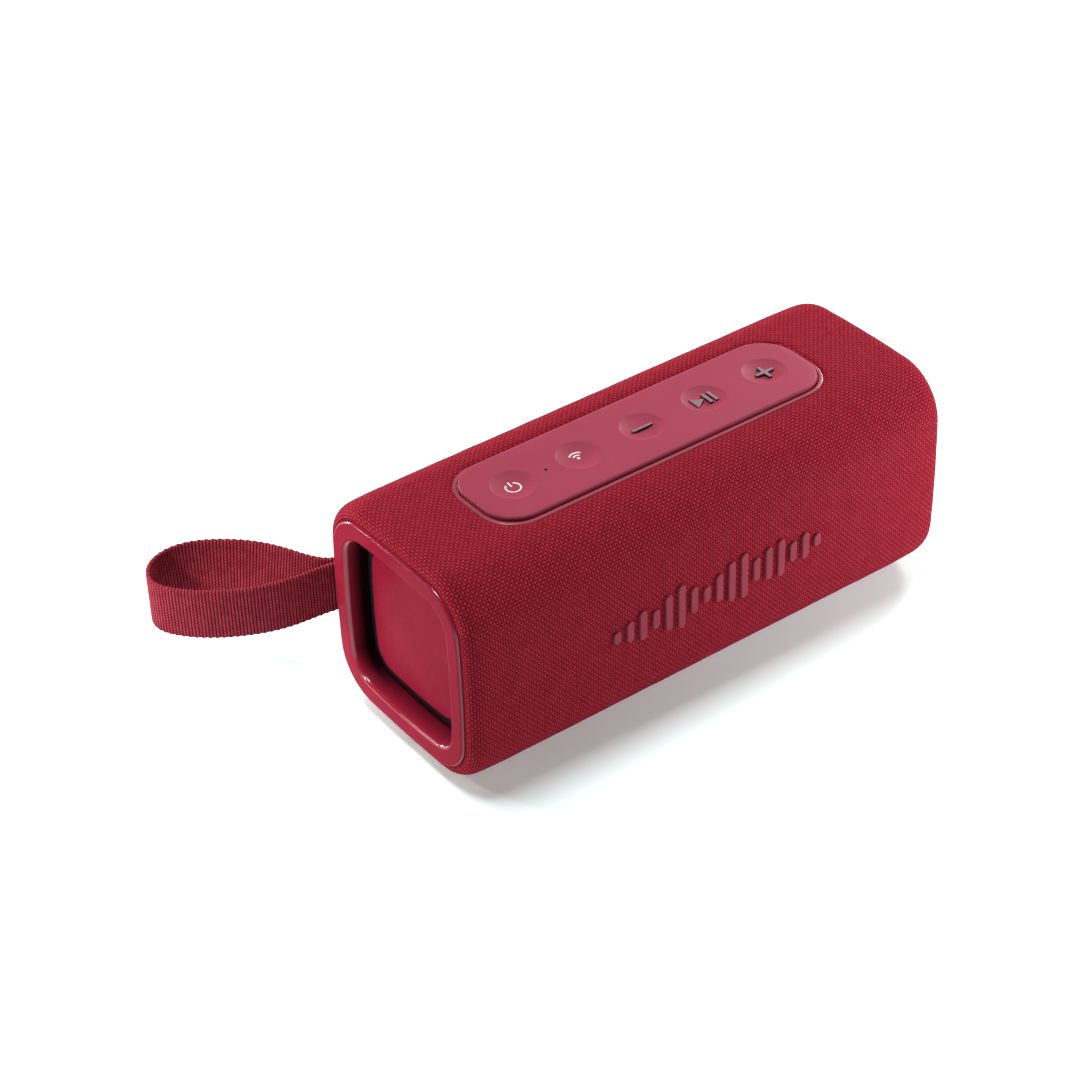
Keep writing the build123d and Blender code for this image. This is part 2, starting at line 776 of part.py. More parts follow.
# ------------------------------------------------------------------ electronics
def make_main_board():
    """Main circuit board, hung from the posts under the keypad well."""
    with BuildPart() as board:
        with BuildSketch(Plane.XY.offset(main_board_bottom)):
            with Locations((0, main_board_y)):
                RectangleRounded(*main_board_size, 2)
                with GridLocations(2 * board_boss_x, 2 * board_boss_y, 2, 2):
                    Circle(1.0, mode=Mode.SUBTRACT)
        extrude(amount=board_thickness)
    save(board.part, "main_board")


def make_board_chips():
    """Amplifier, radio module, coils and capacitors on the main board's underside and top."""
    top = main_board_bottom + board_thickness
    with BuildPart() as chips:
        for x, y, length, width, height in (
            (-20, 10, 9, 9, 1.2),
            (12, 8, 16, 12, 2.2),
            (-32, 4, 6, 6, 3.0),
            (-32, 14, 6, 6, 3.0),
            (28, 14, 5, 5, 1.0),
            (30, 4, 7, 4, 1.6),
        ):
            with BuildSketch(Plane.XY.offset(top)):
                with Locations((x, y)):
                    Rectangle(length, width)
            extrude(amount=height)
        with BuildSketch(Plane.XY.offset(top)):
            with Locations((-8, 4), (-8, 15)):
                Circle(2.5)
        extrude(amount=4.5)
    save(chips.part, "board_chips")


def make_board_screws():
    """Four screws up through the main board into its posts."""
    with BuildPart() as screws:
        for bottom, height, radius in (
            (main_board_bottom - 1.3, 1.3, 1.7),
            (main_board_bottom, 5.5, 0.78),
        ):
            with BuildSketch(Plane.XY.offset(bottom)):
                with Locations((0, main_board_y)):
                    with GridLocations(2 * board_boss_x, 2 * board_boss_y, 2, 2):
                        Circle(radius)
            extrude(amount=height)
    save(screws.part, "board_screws")


def cell_plane(x):
    """Plane across the battery, facing +X, at the height of the surface below."""
    return Plane(origin=(x, 0, 0), x_dir=(0, 1, 0), z_dir=(1, 0, 0))


def make_battery_cells():
    """Two cylindrical cells, one above the other."""
    with BuildPart() as cells:
        with BuildSketch(cell_plane(-cell_length / 2)):
            with Locations([(cell_y, height) for height in cell_heights]):
                Circle(cell_radius)
        extrude(amount=cell_length)
        fillet(cells.faces().filter_by(Axis.X).edges(), 0.6)
    save(cells.part, "battery_cells")


def make_battery_cradle():
    """Cradle with an end plate at each end of the cells and a spine in front of them."""
    height = 39.0
    with BuildPart() as cradle:
        for x in (-cell_length / 2 - 0.2 - cradle_wall, cell_length / 2 + 0.2):
            with BuildSketch(cell_plane(x)) as plate:
                with Locations((16.0, 6.0 + height / 2)):
                    Rectangle(19.0, height)
                fillet(plate.vertices().group_by(Axis.X)[-1], 7.5)
            extrude(amount=cradle_wall)
        with BuildSketch(cell_plane(-cell_length / 2 - 0.2)):
            with Locations((7.0, 6.0 + height / 2)):
                Rectangle(1.0, height)
        extrude(amount=cell_length + 0.4)
    save(cradle.part, "battery_cradle")


def make_acoustic_foam():
    """Damping foam behind the left driver."""
    with BuildPart() as foam:
        with BuildSketch(Plane.XY.offset(12)):
            with Locations((-48, 10)):
                RectangleRounded(18, 22, 3)
        extrude(amount=30)
    save(foam.part, "acoustic_foam")


def make_speaker_leads():
    """A pair of wires from each driver up to the main board."""
    with BuildPart() as leads:
        for y in (-2.4, 0.2):
            with BuildLine(mode=Mode.PRIVATE) as route:
                FilletPolyline(
                    (-25.4, y, 40.0), (-20.0, y, 40.0), (-15.5, y, 45.5), (-15.5, y, 50.9), radius=2.4
                )
            with BuildSketch(Plane(origin=route.line @ 0, z_dir=route.line % 0)):
                Circle(0.6)
            sweep(path=route.line)
        mirror(about=Plane.YZ)
    save(leads.part, "speaker_leads")


# ------------------------------------------------------------------ rear ports
def make_port_bezel():
    """Tray behind the rubber door, with the two socket windows in its floor."""
    floor = tray_front - tray_depth
    middle = port_z - axis_height
    with BuildPart() as bezel:
        with BuildSketch(front_plane(tray_front)):
            with Locations((port_x, middle)):
                RectangleRounded(tray_length, tray_height + 2 * tray_wall, 3.0)
        extrude(amount=tray_depth + tray_wall)
        with BuildSketch(front_plane(tray_front)):
            with Locations((port_x, middle)):
                RectangleRounded(tray_length - 2 * tray_wall, tray_height, 1.8)
        extrude(amount=tray_depth, mode=Mode.SUBTRACT)
        with BuildSketch(front_plane(floor + 1)):
            with Locations((usb_x, port_board_top + usb_size[2] / 2 - axis_height)):
                RectangleRounded(usb_size[0] + 0.3, usb_size[2] + 0.3, 1.5)
            with Locations((aux_x, port_board_top + aux_size[2] / 2 - axis_height)):
                Circle(aux_bore + 0.5)
        extrude(amount=4, mode=Mode.SUBTRACT)
        with BuildSketch(Plane.XY.offset(port_z - tray_height / 2 - 0.8)):
            with Locations((hinge_x, hinge_y)):
                Circle(trunnion_radius + trunnion_fit)
        extrude(amount=tray_height + 1.6, mode=Mode.SUBTRACT)
    save(bezel.part, "port_bezel")


def make_port_door():
    """Rubber door that swings on two stub pins at its left edge."""
    back = door_face - door_thickness
    with BuildPart() as door:
        with BuildSketch(front_plane(door_face)):
            with Locations((hinge_x + door_length / 2 - 1.5, port_z - axis_height)):
                RectangleRounded(door_length - 2.0, door_height, 2.0)
        extrude(amount=door_thickness)
        with BuildSketch(Plane.XY.offset(port_z - door_height / 2)):
            with Locations((hinge_x, hinge_y)):
                Circle(hinge_radius)
            with Locations((hinge_x + 1.2, (door_face + back) / 2)):
                Rectangle(2.4, door_thickness)
        extrude(amount=door_height)
        with BuildSketch(Plane.XY.offset(port_z - tray_height / 2 - 0.7)):
            with Locations((hinge_x, hinge_y)):
                Circle(trunnion_radius)
        extrude(amount=tray_height + 1.4)
    save(door.part, "port_door")


def make_port_board():
    """Small board that carries the two sockets."""
    with BuildPart() as board:
        with BuildSketch(Plane.XY.offset(port_board_top - 1.2)):
            with Locations((port_x + 1, 19.0)):
                Rectangle(22, 13)
        extrude(amount=1.2)
    save(board.part, "port_board")


def make_usb_socket():
    """Charging socket: a flat metal shell with its tongue."""
    width, depth, height = usb_size
    centre = port_board_top + height / 2
    with BuildPart() as socket:
        with BuildSketch(front_plane(socket_front, usb_x, centre)):
            RectangleRounded(width, height, height / 2 - 0.05)
            RectangleRounded(width - 0.6, height - 0.6, height / 2 - 0.35, mode=Mode.SUBTRACT)
        extrude(amount=depth - 1)
        with BuildSketch(front_plane(socket_front - depth + 1, usb_x, centre)):
            RectangleRounded(width, height, height / 2 - 0.05)
        extrude(amount=1)
        with BuildSketch(front_plane(socket_front - depth + 1, usb_x, centre)):
            Rectangle(6.6, 0.7)
        extrude(amount=1 - depth + 0.6)
    save(socket.part, "usb_socket")


def make_aux_socket():
    """Round audio socket in a square block."""
    width, depth, height = aux_size
    centre = port_board_top + height / 2
    with BuildPart() as socket:
        with BuildSketch(front_plane(socket_front - aux_nose, aux_x, centre)):
            Rectangle(width, height)
        extrude(amount=depth)
        with BuildSketch(front_plane(socket_front, aux_x, centre)):
            Circle(aux_bore + 0.4)
        extrude(amount=aux_nose + 0.5)
        with BuildSketch(front_plane(socket_front, aux_x, centre)):
            Circle(aux_bore)
        extrude(amount=depth, mode=Mode.SUBTRACT)
    save(socket.part, "aux_socket")


# ------------------------------------------------------------------ strap
def make_strap_mount():
    """Plastic liner of the strap recess, which holds the pin at both ends."""
    with BuildPart() as mount:
        add(strap_recess(mount_wall))
        add(strap_recess(0), mode=Mode.SUBTRACT)
        with Locations((-66.0, 45.0, strap_z)):
            Box(40, 26.0, 40, mode=Mode.SUBTRACT)
        with BuildSketch(Plane.XY.offset(strap_z - strap_room)):
            with Locations((pin_x, pin_y)):
                Circle(pin_radius)
        extrude(amount=2 * strap_room, mode=Mode.SUBTRACT)
    save(mount.part, "strap_mount")


def make_strap_pin():
    """Steel pin across the recess."""
    length = strap_room + 2 * mount_wall - 0.2
    with BuildPart() as pin:
        with BuildSketch(Plane.XY.offset(strap_z - length / 2)):
            with Locations((pin_x, pin_y)):
                Circle(pin_radius - 0.02)
        extrude(amount=length)
    save(pin.part, "strap_pin")


def make_strap_webbing():
    """Flat webbing on edge: round the pin, along as two plies, then out into the hand loop."""
    out = Vector(-0.957, 0.291).normalized()
    side = Vector(0.291, 0.957).normalized()
    pin = Vector(pin_x, pin_y)
    ply = strap_thickness / 2 + 0.07
    inner_eye = pin - side * strap_eye
    outer_eye = pin + side * strap_eye
    inner_near = pin + out * 5 - side * ply
    outer_near = pin + out * 5 + side * ply
    inner_far = pin + out * 11 - side * ply
    outer_far = pin + out * 11 + side * ply
    with BuildPart() as strap:
        with BuildSketch(Plane.XY.offset(strap_z - strap_width / 2)):
            with BuildLine():
                ThreePointArc(inner_eye, pin - out * strap_eye, outer_eye)
                Spline(outer_eye, outer_near, tangents=(out, out))
                Line(outer_near, outer_far)
                Spline(
                    outer_far,
                    (-87.0, 48.6),
                    (-98.0, 62.6),
                    (-107.5, 67.8),
                    (-116.5, 65.8),
                    (-120.4, 58.0),
                    (-116.2, 48.6),
                    (-106.0, 40.4),
                    (-92.0, 35.0),
                    inner_far,
                    tangents=(out, out * -1),
                )
                Line(inner_far, inner_near)
                Spline(inner_near, inner_eye, tangents=(out * -1, out * -1))
            trace(line_width=strap_thickness)
        extrude(amount=strap_width)
    save(strap.part, "strap_webbing")


# ------------------------------------------------------------------ foot and badge
def make_rubber_foot():
    """Broad rubber pad set into the bottom."""
    with BuildPart() as foot:
        with BuildSketch(Plane.XY):
            RectangleRounded(foot_length, foot_width, foot_radius)
        extrude(amount=foot_seat - 0.02)
        fillet(foot.faces().sort_by(Axis.Z)[0].edges(), 0.4)
    save(foot.part, "rubber_foot")


def make_waveform_badge():
    """Row of raised rubber bars on the front, like a sound wave."""
    with BuildPart() as badge:
        with BuildSketch(front_plane(-body_width / 2 - 0.01)):
            for index, height in enumerate(bar_heights):
                with Locations(((index - (len(bar_heights) - 1) / 2) * bar_pitch, -1.0)):
                    SlotOverall(height, bar_width, rotation=90)
        extrude(amount=bar_proud)
        fillet(badge.faces().group_by(Axis.Y)[0].edges(), 0.35)
    save(badge.part, "waveform_badge")


make_fabric_sleeve()
make_shells()
make_shell_screws()
make_end_rings()
make_radiator_frames()
make_radiator_screws()
make_radiator_surrounds()
make_radiator_plates()
make_radiator_weights()
make_driver_grilles()
make_driver_baskets()
make_driver_surrounds()
make_driver_spiders()
make_driver_cones()
make_voice_coils()
make_driver_magnets()
make_motor_steel()
make_driver_screws()
make_keypad_bezel()
make_keypad_sheet()
make_keys()
make_status_led()
make_key_board()
make_key_switches()
make_main_board()
make_board_chips()
make_board_screws()
make_battery_cells()
make_battery_cradle()
make_acoustic_foam()
make_speaker_leads()
make_port_bezel()
make_port_door()
make_port_board()
make_usb_socket()
make_aux_socket()
make_strap_mount()
make_strap_pin()
make_strap_webbing()
make_rubber_foot()
make_waveform_badge()
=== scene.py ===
import json
import math

import bmesh
import bpy
import numpy as np
from mathutils import Matrix, Vector


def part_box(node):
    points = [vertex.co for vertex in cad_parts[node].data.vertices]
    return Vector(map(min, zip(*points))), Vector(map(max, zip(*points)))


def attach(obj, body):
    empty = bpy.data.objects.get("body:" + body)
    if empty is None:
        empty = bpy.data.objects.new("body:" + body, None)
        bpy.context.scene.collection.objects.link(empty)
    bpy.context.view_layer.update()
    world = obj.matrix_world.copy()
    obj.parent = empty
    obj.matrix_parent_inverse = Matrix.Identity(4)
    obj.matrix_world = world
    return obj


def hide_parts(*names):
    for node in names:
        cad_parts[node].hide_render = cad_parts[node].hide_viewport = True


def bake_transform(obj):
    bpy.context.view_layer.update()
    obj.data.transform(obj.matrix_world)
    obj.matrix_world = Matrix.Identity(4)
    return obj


# Looks of the portable speaker: woven cover, webbing loop, soft keypad with dished keys,
# rubber radiator surrounds, and a finish for every part.  Metres, in the frame's own axes.
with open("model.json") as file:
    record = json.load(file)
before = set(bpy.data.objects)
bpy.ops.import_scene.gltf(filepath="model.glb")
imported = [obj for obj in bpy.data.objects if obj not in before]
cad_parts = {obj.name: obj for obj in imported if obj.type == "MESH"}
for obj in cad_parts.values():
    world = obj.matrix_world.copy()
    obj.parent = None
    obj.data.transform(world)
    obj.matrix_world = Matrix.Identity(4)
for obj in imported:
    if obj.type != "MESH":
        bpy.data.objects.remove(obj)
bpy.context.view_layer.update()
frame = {"nodes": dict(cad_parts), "record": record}
slot_of = {part["node"]: part["material_slot"] for part in frame["record"]["subparts"]}

MM = 0.001


def middle_of(node):
    """Middle of a CAD node's box."""
    low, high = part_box(node)
    return (low + high) / 2


# ------------------------------------------------------------------ driving sizes
cover_low, cover_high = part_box("fabric_sleeve")
half_length = cover_high.x
half_width = cover_high.y
half_height = (cover_high.z - cover_low.z) / 2
axis_height = (cover_high.z + cover_low.z) / 2
crown = 1.1 * MM  # how far each long side of the barrel bows out
corner_radius = 15.5 * MM
ring_inset = 3.8 * MM  # from the fabric's surface in to the end ring
ring_radius = 13.0 * MM
yarn_pitch = 0.80 * MM


def ease(share):
    """Smooth step from 0 to 1."""
    return share * share * (3 - 2 * share)


# ------------------------------------------------------------------ node trees
class Finish:
    """A material whose node tree is put together with short calls."""

    def __init__(self, name, **settings):
        self.material = bpy.data.materials.new(name)
        self.material.use_nodes = True
        self.tree = self.material.node_tree
        self.shader = self.tree.nodes["Principled BSDF"]
        for socket, value in settings.items():
            self.shader.inputs[socket.replace("_", " ")].default_value = value
        self.place = self.tree.nodes.new("ShaderNodeTexCoord").outputs["Object"]

    def feed(self, socket, value):
        """Link a socket to another node, or set its value."""
        if isinstance(value, bpy.types.NodeSocket):
            self.tree.links.new(value, socket)
        else:
            socket.default_value = value

    def math(self, operation, *values):
        """One Math node."""
        node = self.tree.nodes.new("ShaderNodeMath")
        node.operation = operation
        for socket, value in zip(node.inputs, values):
            self.feed(socket, value)
        return node.outputs[0]

    def span(self, value, low, high, to_low=0.0, to_high=1.0):
        """Value taken from one range to another, clamped."""
        node = self.tree.nodes.new("ShaderNodeMapRange")
        for socket, number in zip(node.inputs, (value, low, high, to_low, to_high)):
            self.feed(socket, number)
        return node.outputs[0]

    def mix(self, share, first, second):
        """Colour between two colours or colour sockets."""
        node = self.tree.nodes.new("ShaderNodeMix")
        node.data_type = "RGBA"
        self.feed(node.inputs[0], share)
        for socket, value in ((node.inputs[6], first), (node.inputs[7], second)):
            self.feed(socket, (*value, 1.0) if isinstance(value, tuple) else value)
        return node.outputs[2]

    def noise(self, scale, detail=2.0, stretch=None):
        """Noise of about one feature per 1/scale metres, stretched along an axis if asked."""
        where = self.place
        if stretch:
            mapping = self.tree.nodes.new("ShaderNodeMapping")
            mapping.inputs["Scale"].default_value = stretch
            self.feed(mapping.inputs["Vector"], where)
            where = mapping.outputs[0]
        node = self.tree.nodes.new("ShaderNodeTexNoise")
        node.inputs["Scale"].default_value = scale
        node.inputs["Detail"].default_value = detail
        self.feed(node.inputs["Vector"], where)
        return node.outputs["Fac"]

    def split(self, vector):
        """X, Y and Z of a vector."""
        node = self.tree.nodes.new("ShaderNodeSeparateXYZ")
        self.feed(node.inputs[0], vector)
        return node.outputs

    def cloth(self):
        """The two directions of a woven piece, counted in yarns, from its own map."""
        node = self.tree.nodes.new("ShaderNodeUVMap")
        node.uv_map = "weave"
        return self.split(node.outputs[0])[:2]

    def ridge(self, count):
        """Round ridge over each whole step of a count: 0 at its edges and 1 in its middle."""
        offset = self.math("MULTIPLY_ADD", self.math("FRACT", count), 2.0, -1.0)
        return self.math("SUBTRACT", 1.0, self.math("MULTIPLY", offset, offset))

    def drift(self, fine):
        """Share of a slow colour drift, with a little fine noise in it."""
        slow = self.math("MULTIPLY", self.noise(45.0, 3.0), 0.65)
        return self.span(self.math("MULTIPLY_ADD", fine, 0.35, slow), 0.3, 0.7)

    def patches(self, low, high):
        """Uneven polish: roughness between two values, in small patches."""
        return self.span(self.noise(260.0, 4.0), 0.3, 0.7, low, high)

    def bump(self, height, distance):
        """Relief of that many metres."""
        node = self.tree.nodes.new("ShaderNodeBump")
        node.inputs["Strength"].default_value = 1.0
        node.inputs["Distance"].default_value = distance
        self.feed(node.inputs["Height"], height)
        return node.outputs[0]

    def done(self, color, roughness, normal):
        """Connect what varies over the surface to the shader."""
        for socket, value in (("Base Color", color), ("Roughness", roughness), ("Normal", normal)):
            self.feed(self.shader.inputs[socket], value)
        return self.material


def moulded(name, color, roughness, grain=0.16 * MM, relief=0.012 * MM, shade=0.86, **settings):
    """Moulded plastic or rubber: spark-eroded grain, slow colour drift and uneven polish."""
    finish = Finish(name, **settings)
    fine = finish.noise(1 / grain, 3.0)
    dark = tuple(channel * shade for channel in color)
    shown = finish.mix(finish.drift(fine), dark, color)
    dull = finish.patches(roughness - 0.04, roughness + 0.05)
    return finish.done(shown, dull, finish.bump(fine, relief))


def ring_plastic():
    """Satin red of the end rings: a glossy coat on the rolled edges, and painted shade down the
    recess that goes to near-black, most on its back wall.
    """
    finish = Finish("ring_plastic", Specular_IOR_Level=0.01, Coat_Roughness=0.22, Coat_IOR=1.6)
    # painted shade on the recess wall: it starts and is full at these X, and grows from dim to
    # near-black between these Y
    wall_top, recess_shade_full = 80.3 * MM, 76.5 * MM  # how far out along X the wall starts to darken
    flat_face, rolled_edge = 81.44 * MM, 81.1 * MM  # and the face starts to round over
    front_wall, back_wall = 6 * MM, 20 * MM  # Y between which the wall goes from dim to black
    along, aside, _ = finish.split(finish.place)
    out = finish.math("ABSOLUTE", along)
    depth = finish.span(out, wall_top, recess_shade_full)
    painted_recess_shade = finish.math("MULTIPLY", depth, finish.span(aside, front_wall, back_wall, 0.4, 1.0))
    fine = finish.noise(6200.0, 3.0)
    red = finish.mix(finish.drift(fine), (0.26, 0.011, 0.031), (0.29, 0.013, 0.035))
    # painted shade: the walls of the recess are mixed towards near-black, most on the back wall
    shown = finish.mix(painted_recess_shade, red, (0.012, 0.002, 0.004))
    rolled = finish.span(out, flat_face, rolled_edge)
    bare = finish.math("SUBTRACT", 1.0, depth)
    finish.feed(finish.shader.inputs["Coat Weight"], finish.math("MULTIPLY", rolled, bare))
    return finish.done(shown, finish.patches(0.2, 0.24), finish.bump(fine, 0.004 * MM))


def metal(name, color, roughness, stretch=(1.0, 1.0, 14.0), **settings):
    """Bare or plated metal with drawn or turned lines."""
    finish = Finish(name, Metallic=1.0, **settings)
    lines = finish.noise(2600.0, 4.0, stretch=stretch)
    stain = finish.noise(180.0, 3.0)
    dark = tuple(channel * 0.72 for channel in color)
    shown = finish.mix(finish.span(stain, 0.35, 0.7), dark, color)
    dull = finish.span(lines, 0.25, 0.75, roughness - 0.07, roughness + 0.1)
    return finish.done(shown, dull, finish.bump(lines, 0.008 * MM))


def plain_weave(finish, across, along):
    """Height of a plain weave, and which of its two yarns is on top."""
    wide, long = finish.ridge(across), finish.ridge(along)
    cell = finish.math("ADD", finish.math("FLOOR", across), finish.math("FLOOR", along))
    weft_up = finish.math("MODULO", finish.math("ABSOLUTE", cell), 2.0)
    rounding = 0.4  # how soon a yarn dives at its ends
    warp = finish.math("MULTIPLY", wide, finish.math("POWER", long, rounding))
    weft = finish.math("MULTIPLY", long, finish.math("POWER", wide, rounding))
    step = finish.math("MULTIPLY", finish.math("SUBTRACT", weft, warp), weft_up)
    return finish.math("ADD", warp, step), weft_up


def cover_fabric():
    """Coarse plain-woven polyester: rose yarns over a dark ground, with painted crease shade where
    the yarns dive under each other.
    """
    finish = Finish("cover_fabric", Specular_IOR_Level=0.03)
    across, along = finish.cloth()
    wander = finish.span(finish.noise(700.0, 2.0), 0.25, 0.75, -0.1, 0.1)
    height, weft_up = plain_weave(finish, finish.math("ADD", across, wander), along)
    fibre = finish.noise(9000.0, 3.0)
    slub = finish.noise(420.0, 3.0)
    warp = finish.mix(finish.span(slub, 0.3, 0.7), (0.46, 0.024, 0.047), (0.54, 0.036, 0.063))
    weft = finish.mix(finish.span(slub, 0.3, 0.7), (0.33, 0.011, 0.026), (0.39, 0.017, 0.035))
    yarn = finish.mix(weft_up, warp, weft)
    lit = finish.math("MULTIPLY", finish.span(height, 0.12, 0.72),
                      finish.span(fibre, 0.2, 0.8, 0.72, 1.0))
    # the dark ground showing between the yarns, plus painted shade in the creases where they dive
    shown = finish.mix(lit, (0.075, 0.004, 0.010), yarn)
    relief = finish.math("MULTIPLY_ADD", fibre, 0.12, height)
    return finish.done(shown, finish.span(fibre, 0.2, 0.8, 0.68, 0.9),
                       finish.bump(relief, 0.13 * MM))


def webbing_cloth():
    """Ribbed nylon webbing; the ribs are in the mesh, and the yarns, their shine and painted shade
    in the grooves between them are here.
    """
    finish = Finish("webbing_cloth", Specular_IOR_Level=0.03)
    across, along = finish.cloth()
    stagger = finish.math("MULTIPLY_ADD", finish.math("FLOOR", across), 0.5, along)
    stitch = finish.math("PINGPONG", stagger, 0.5)
    height = finish.math("MULTIPLY", finish.ridge(across),
                         finish.math("MULTIPLY_ADD", stitch, 0.9, 0.55))
    fibre = finish.noise(7000.0, 3.0, stretch=(1.0, 1.0, 0.3))
    slub = finish.noise(500.0, 2.0)
    yarn = finish.mix(finish.span(slub, 0.3, 0.7), (0.36, 0.029, 0.050), (0.48, 0.050, 0.078))
    lit = finish.math("MULTIPLY", finish.span(height, 0.12, 0.8),
                      finish.span(fibre, 0.2, 0.8, 0.7, 1.0))
    # painted shade: the yarns go near-black in the grooves between ribs and stitches
    shown = finish.mix(lit, (0.04, 0.003, 0.007), yarn)
    relief = finish.math("MULTIPLY_ADD", fibre, 0.15, height)
    return finish.done(shown, finish.span(fibre, 0.2, 0.8, 0.5, 0.75),
                       finish.bump(relief, 0.14 * MM))


def banded(name, colors, pitch, axis, roughness, relief=0.03 * MM, **settings):
    """Rings or windings along one axis, `pitch` apart."""
    finish = Finish(name, **settings)
    ridge = finish.ridge(finish.math("DIVIDE", finish.split(finish.place)[axis], pitch))
    speck = finish.noise(1500.0, 3.0)
    share = finish.math("MULTIPLY", ridge, finish.span(speck, 0.2, 0.8, 0.7, 1.0))
    shown = finish.mix(share, colors[0], colors[1])
    return finish.done(shown, finish.span(speck, 0.3, 0.7, roughness - 0.06, roughness + 0.08),
                       finish.bump(ridge, relief))


def board_mask():
    """Green solder mask over faint copper tracks."""
    finish = Finish("board_mask", Coat_Weight=0.3, Coat_Roughness=0.2)
    cells = finish.tree.nodes.new("ShaderNodeTexVoronoi")
    cells.feature = "F1"
    cells.distance = "CHEBYCHEV"
    cells.inputs["Scale"].default_value = 320.0
    finish.feed(cells.inputs["Vector"], finish.place)
    track = finish.math("PINGPONG", finish.math("MULTIPLY", cells.outputs["Distance"], 5.0), 1.0)
    line = finish.span(track, 0.75, 0.85)
    shown = finish.mix(line, (0.018, 0.12, 0.05), (0.05, 0.24, 0.1))
    return finish.done(shown, finish.span(finish.noise(700.0), 0.3, 0.7, 0.3, 0.45),
                       finish.bump(line, 0.02 * MM))


def open_foam():
    """Charcoal open-cell foam."""
    finish = Finish("open_foam", Specular_IOR_Level=0.2)
    cells = finish.tree.nodes.new("ShaderNodeTexVoronoi")
    cells.inputs["Scale"].default_value = 900.0
    finish.feed(cells.inputs["Vector"], finish.place)
    pore = cells.outputs["Distance"]
    shown = finish.mix(finish.span(pore, 0.1, 0.6), (0.012, 0.012, 0.013), (0.11, 0.11, 0.115))
    return finish.done(shown, finish.span(finish.noise(800.0), 0.3, 0.7, 0.85, 1.0),
                       finish.bump(pore, 0.3 * MM))


def floor_paper():
    """Seamless studio paper, a little cool so that the red light thrown on it comes out grey."""
    finish = Finish("floor_paper", Specular_IOR_Level=0.1, Emission_Color=(1.0, 1.0, 1.0, 1.0),
                    Emission_Strength=0.2)
    tooth = finish.noise(1500.0, 3.0)
    shown = finish.mix(finish.span(finish.noise(4.0), 0.3, 0.7),
                       (0.83, 0.965, 0.955), (0.85, 0.985, 0.975))
    return finish.done(shown, finish.span(tooth, 0.3, 0.7, 0.8, 0.95),
                       finish.bump(tooth, 0.01 * MM))


finishes = {
    "red_fabric": cover_fabric(),
    "red_plastic": moulded("satin_red", (0.29, 0.011, 0.033), 0.26, relief=0.006 * MM,
                           Specular_IOR_Level=0.01),
    "rose_rubber": moulded("rose_rubber", (0.37, 0.052, 0.092), 0.5, grain=0.12 * MM,
                           shade=0.92, Specular_IOR_Level=0.09),
    "strap_web": webbing_cloth(),
    "black_plastic": moulded("black_plastic", (0.024, 0.023, 0.025), 0.42),
    "black_rubber": moulded("black_rubber", (0.006, 0.004, 0.005), 0.45, grain=0.1 * MM,
                            shade=0.6, Specular_IOR_Level=0.12),
    "steel": metal("brushed_steel", (0.56, 0.56, 0.57), 0.3),
    "zinc_steel": metal("zinc_plate", (0.52, 0.53, 0.56), 0.26, stretch=(6.0, 6.0, 6.0)),
    "ferrite": moulded("ferrite", (0.06, 0.06, 0.065), 0.72, grain=0.3 * MM, relief=0.05 * MM,
                       shade=0.5),
    "cone_paper": moulded("pressed_paper", (0.045, 0.043, 0.042), 0.8, grain=0.5 * MM,
                          relief=0.08 * MM, shade=0.6),
    "spider_cloth": banded("spider_cloth", ((0.20, 0.13, 0.045), (0.55, 0.41, 0.18)),
                           0.6 * MM, 0, 0.8),
    "copper": banded("copper_winding", ((0.25, 0.08, 0.03), (0.80, 0.38, 0.18)),
                     0.25 * MM, 1, 0.3, Metallic=1.0),
    "board_green": board_mask(),
    "chip_black": moulded("chip_resin", (0.022, 0.022, 0.024), 0.32, shade=0.7),
    "cell_wrap": banded("cell_wrap", ((0.02, 0.10, 0.28), (0.03, 0.16, 0.42)),
                        9.0 * MM, 0, 0.22, relief=0.02 * MM),
    "foam": open_foam(),
    "lead_jacket": moulded("lead_jacket", (0.42, 0.02, 0.02), 0.4, shade=0.8),
    "lens": moulded("smoked_lens", (0.03, 0.006, 0.009), 0.14, relief=0.002 * MM),
}
icon_ink = moulded("icon_ink", (0.86, 0.80, 0.81), 0.5, relief=0.004 * MM, shade=0.92)
# painted light and shade on the raised symbols, which are the keypad's own rubber: a paler
# grey-pink for their tops and near-black for their sides
symbol_painted_light = moulded("symbol_painted_light", (0.27, 0.145, 0.17), 0.5, relief=0.006 * MM)
symbol_painted_shade = moulded("symbol_painted_shade", (0.02, 0.004, 0.007), 0.6)
ring_finish = ring_plastic()
badge_finish = moulded("badge_rubber", (0.33, 0.04, 0.064), 0.5, Specular_IOR_Level=0.1)
bezel_finish = moulded("bezel_edge", (0.42, 0.085, 0.115), 0.25, relief=0.003 * MM)
own_finish = {
    "keypad_bezel": bezel_finish,
    "left_end_ring": ring_finish,
    "right_end_ring": ring_finish,
    "waveform_badge": badge_finish,
}
for node, body in frame["nodes"].items():
    body.data.materials.clear()
    body.data.materials.append(own_finish.get(node, finishes[slot_of[node]]))


# ------------------------------------------------------------------ mesh helpers
def into_scene(name, data):
    """An object in the scene for a mesh, light or camera."""
    thing = bpy.data.objects.new(name, data)
    bpy.context.scene.collection.objects.link(thing)
    return thing


def piece(name, points, faces, material, smooth=True):
    """A mesh object from points and faces."""
    mesh = bpy.data.meshes.new(name)
    mesh.from_pydata([tuple(point) for point in points], [], faces)
    mesh.materials.append(material)
    mesh.polygons.foreach_set("use_smooth", [smooth] * len(mesh.polygons))
    mesh.update()
    return into_scene(name, mesh)


def edited(name, edit, *materials, smooth=True):
    """A mesh object from a finished bmesh."""
    mesh = bpy.data.meshes.new(name)
    edit.to_mesh(mesh)
    edit.free()
    for material in materials:
        mesh.materials.append(material)
    mesh.polygons.foreach_set("use_smooth", [smooth] * len(mesh.polygons))
    return into_scene(name, mesh)


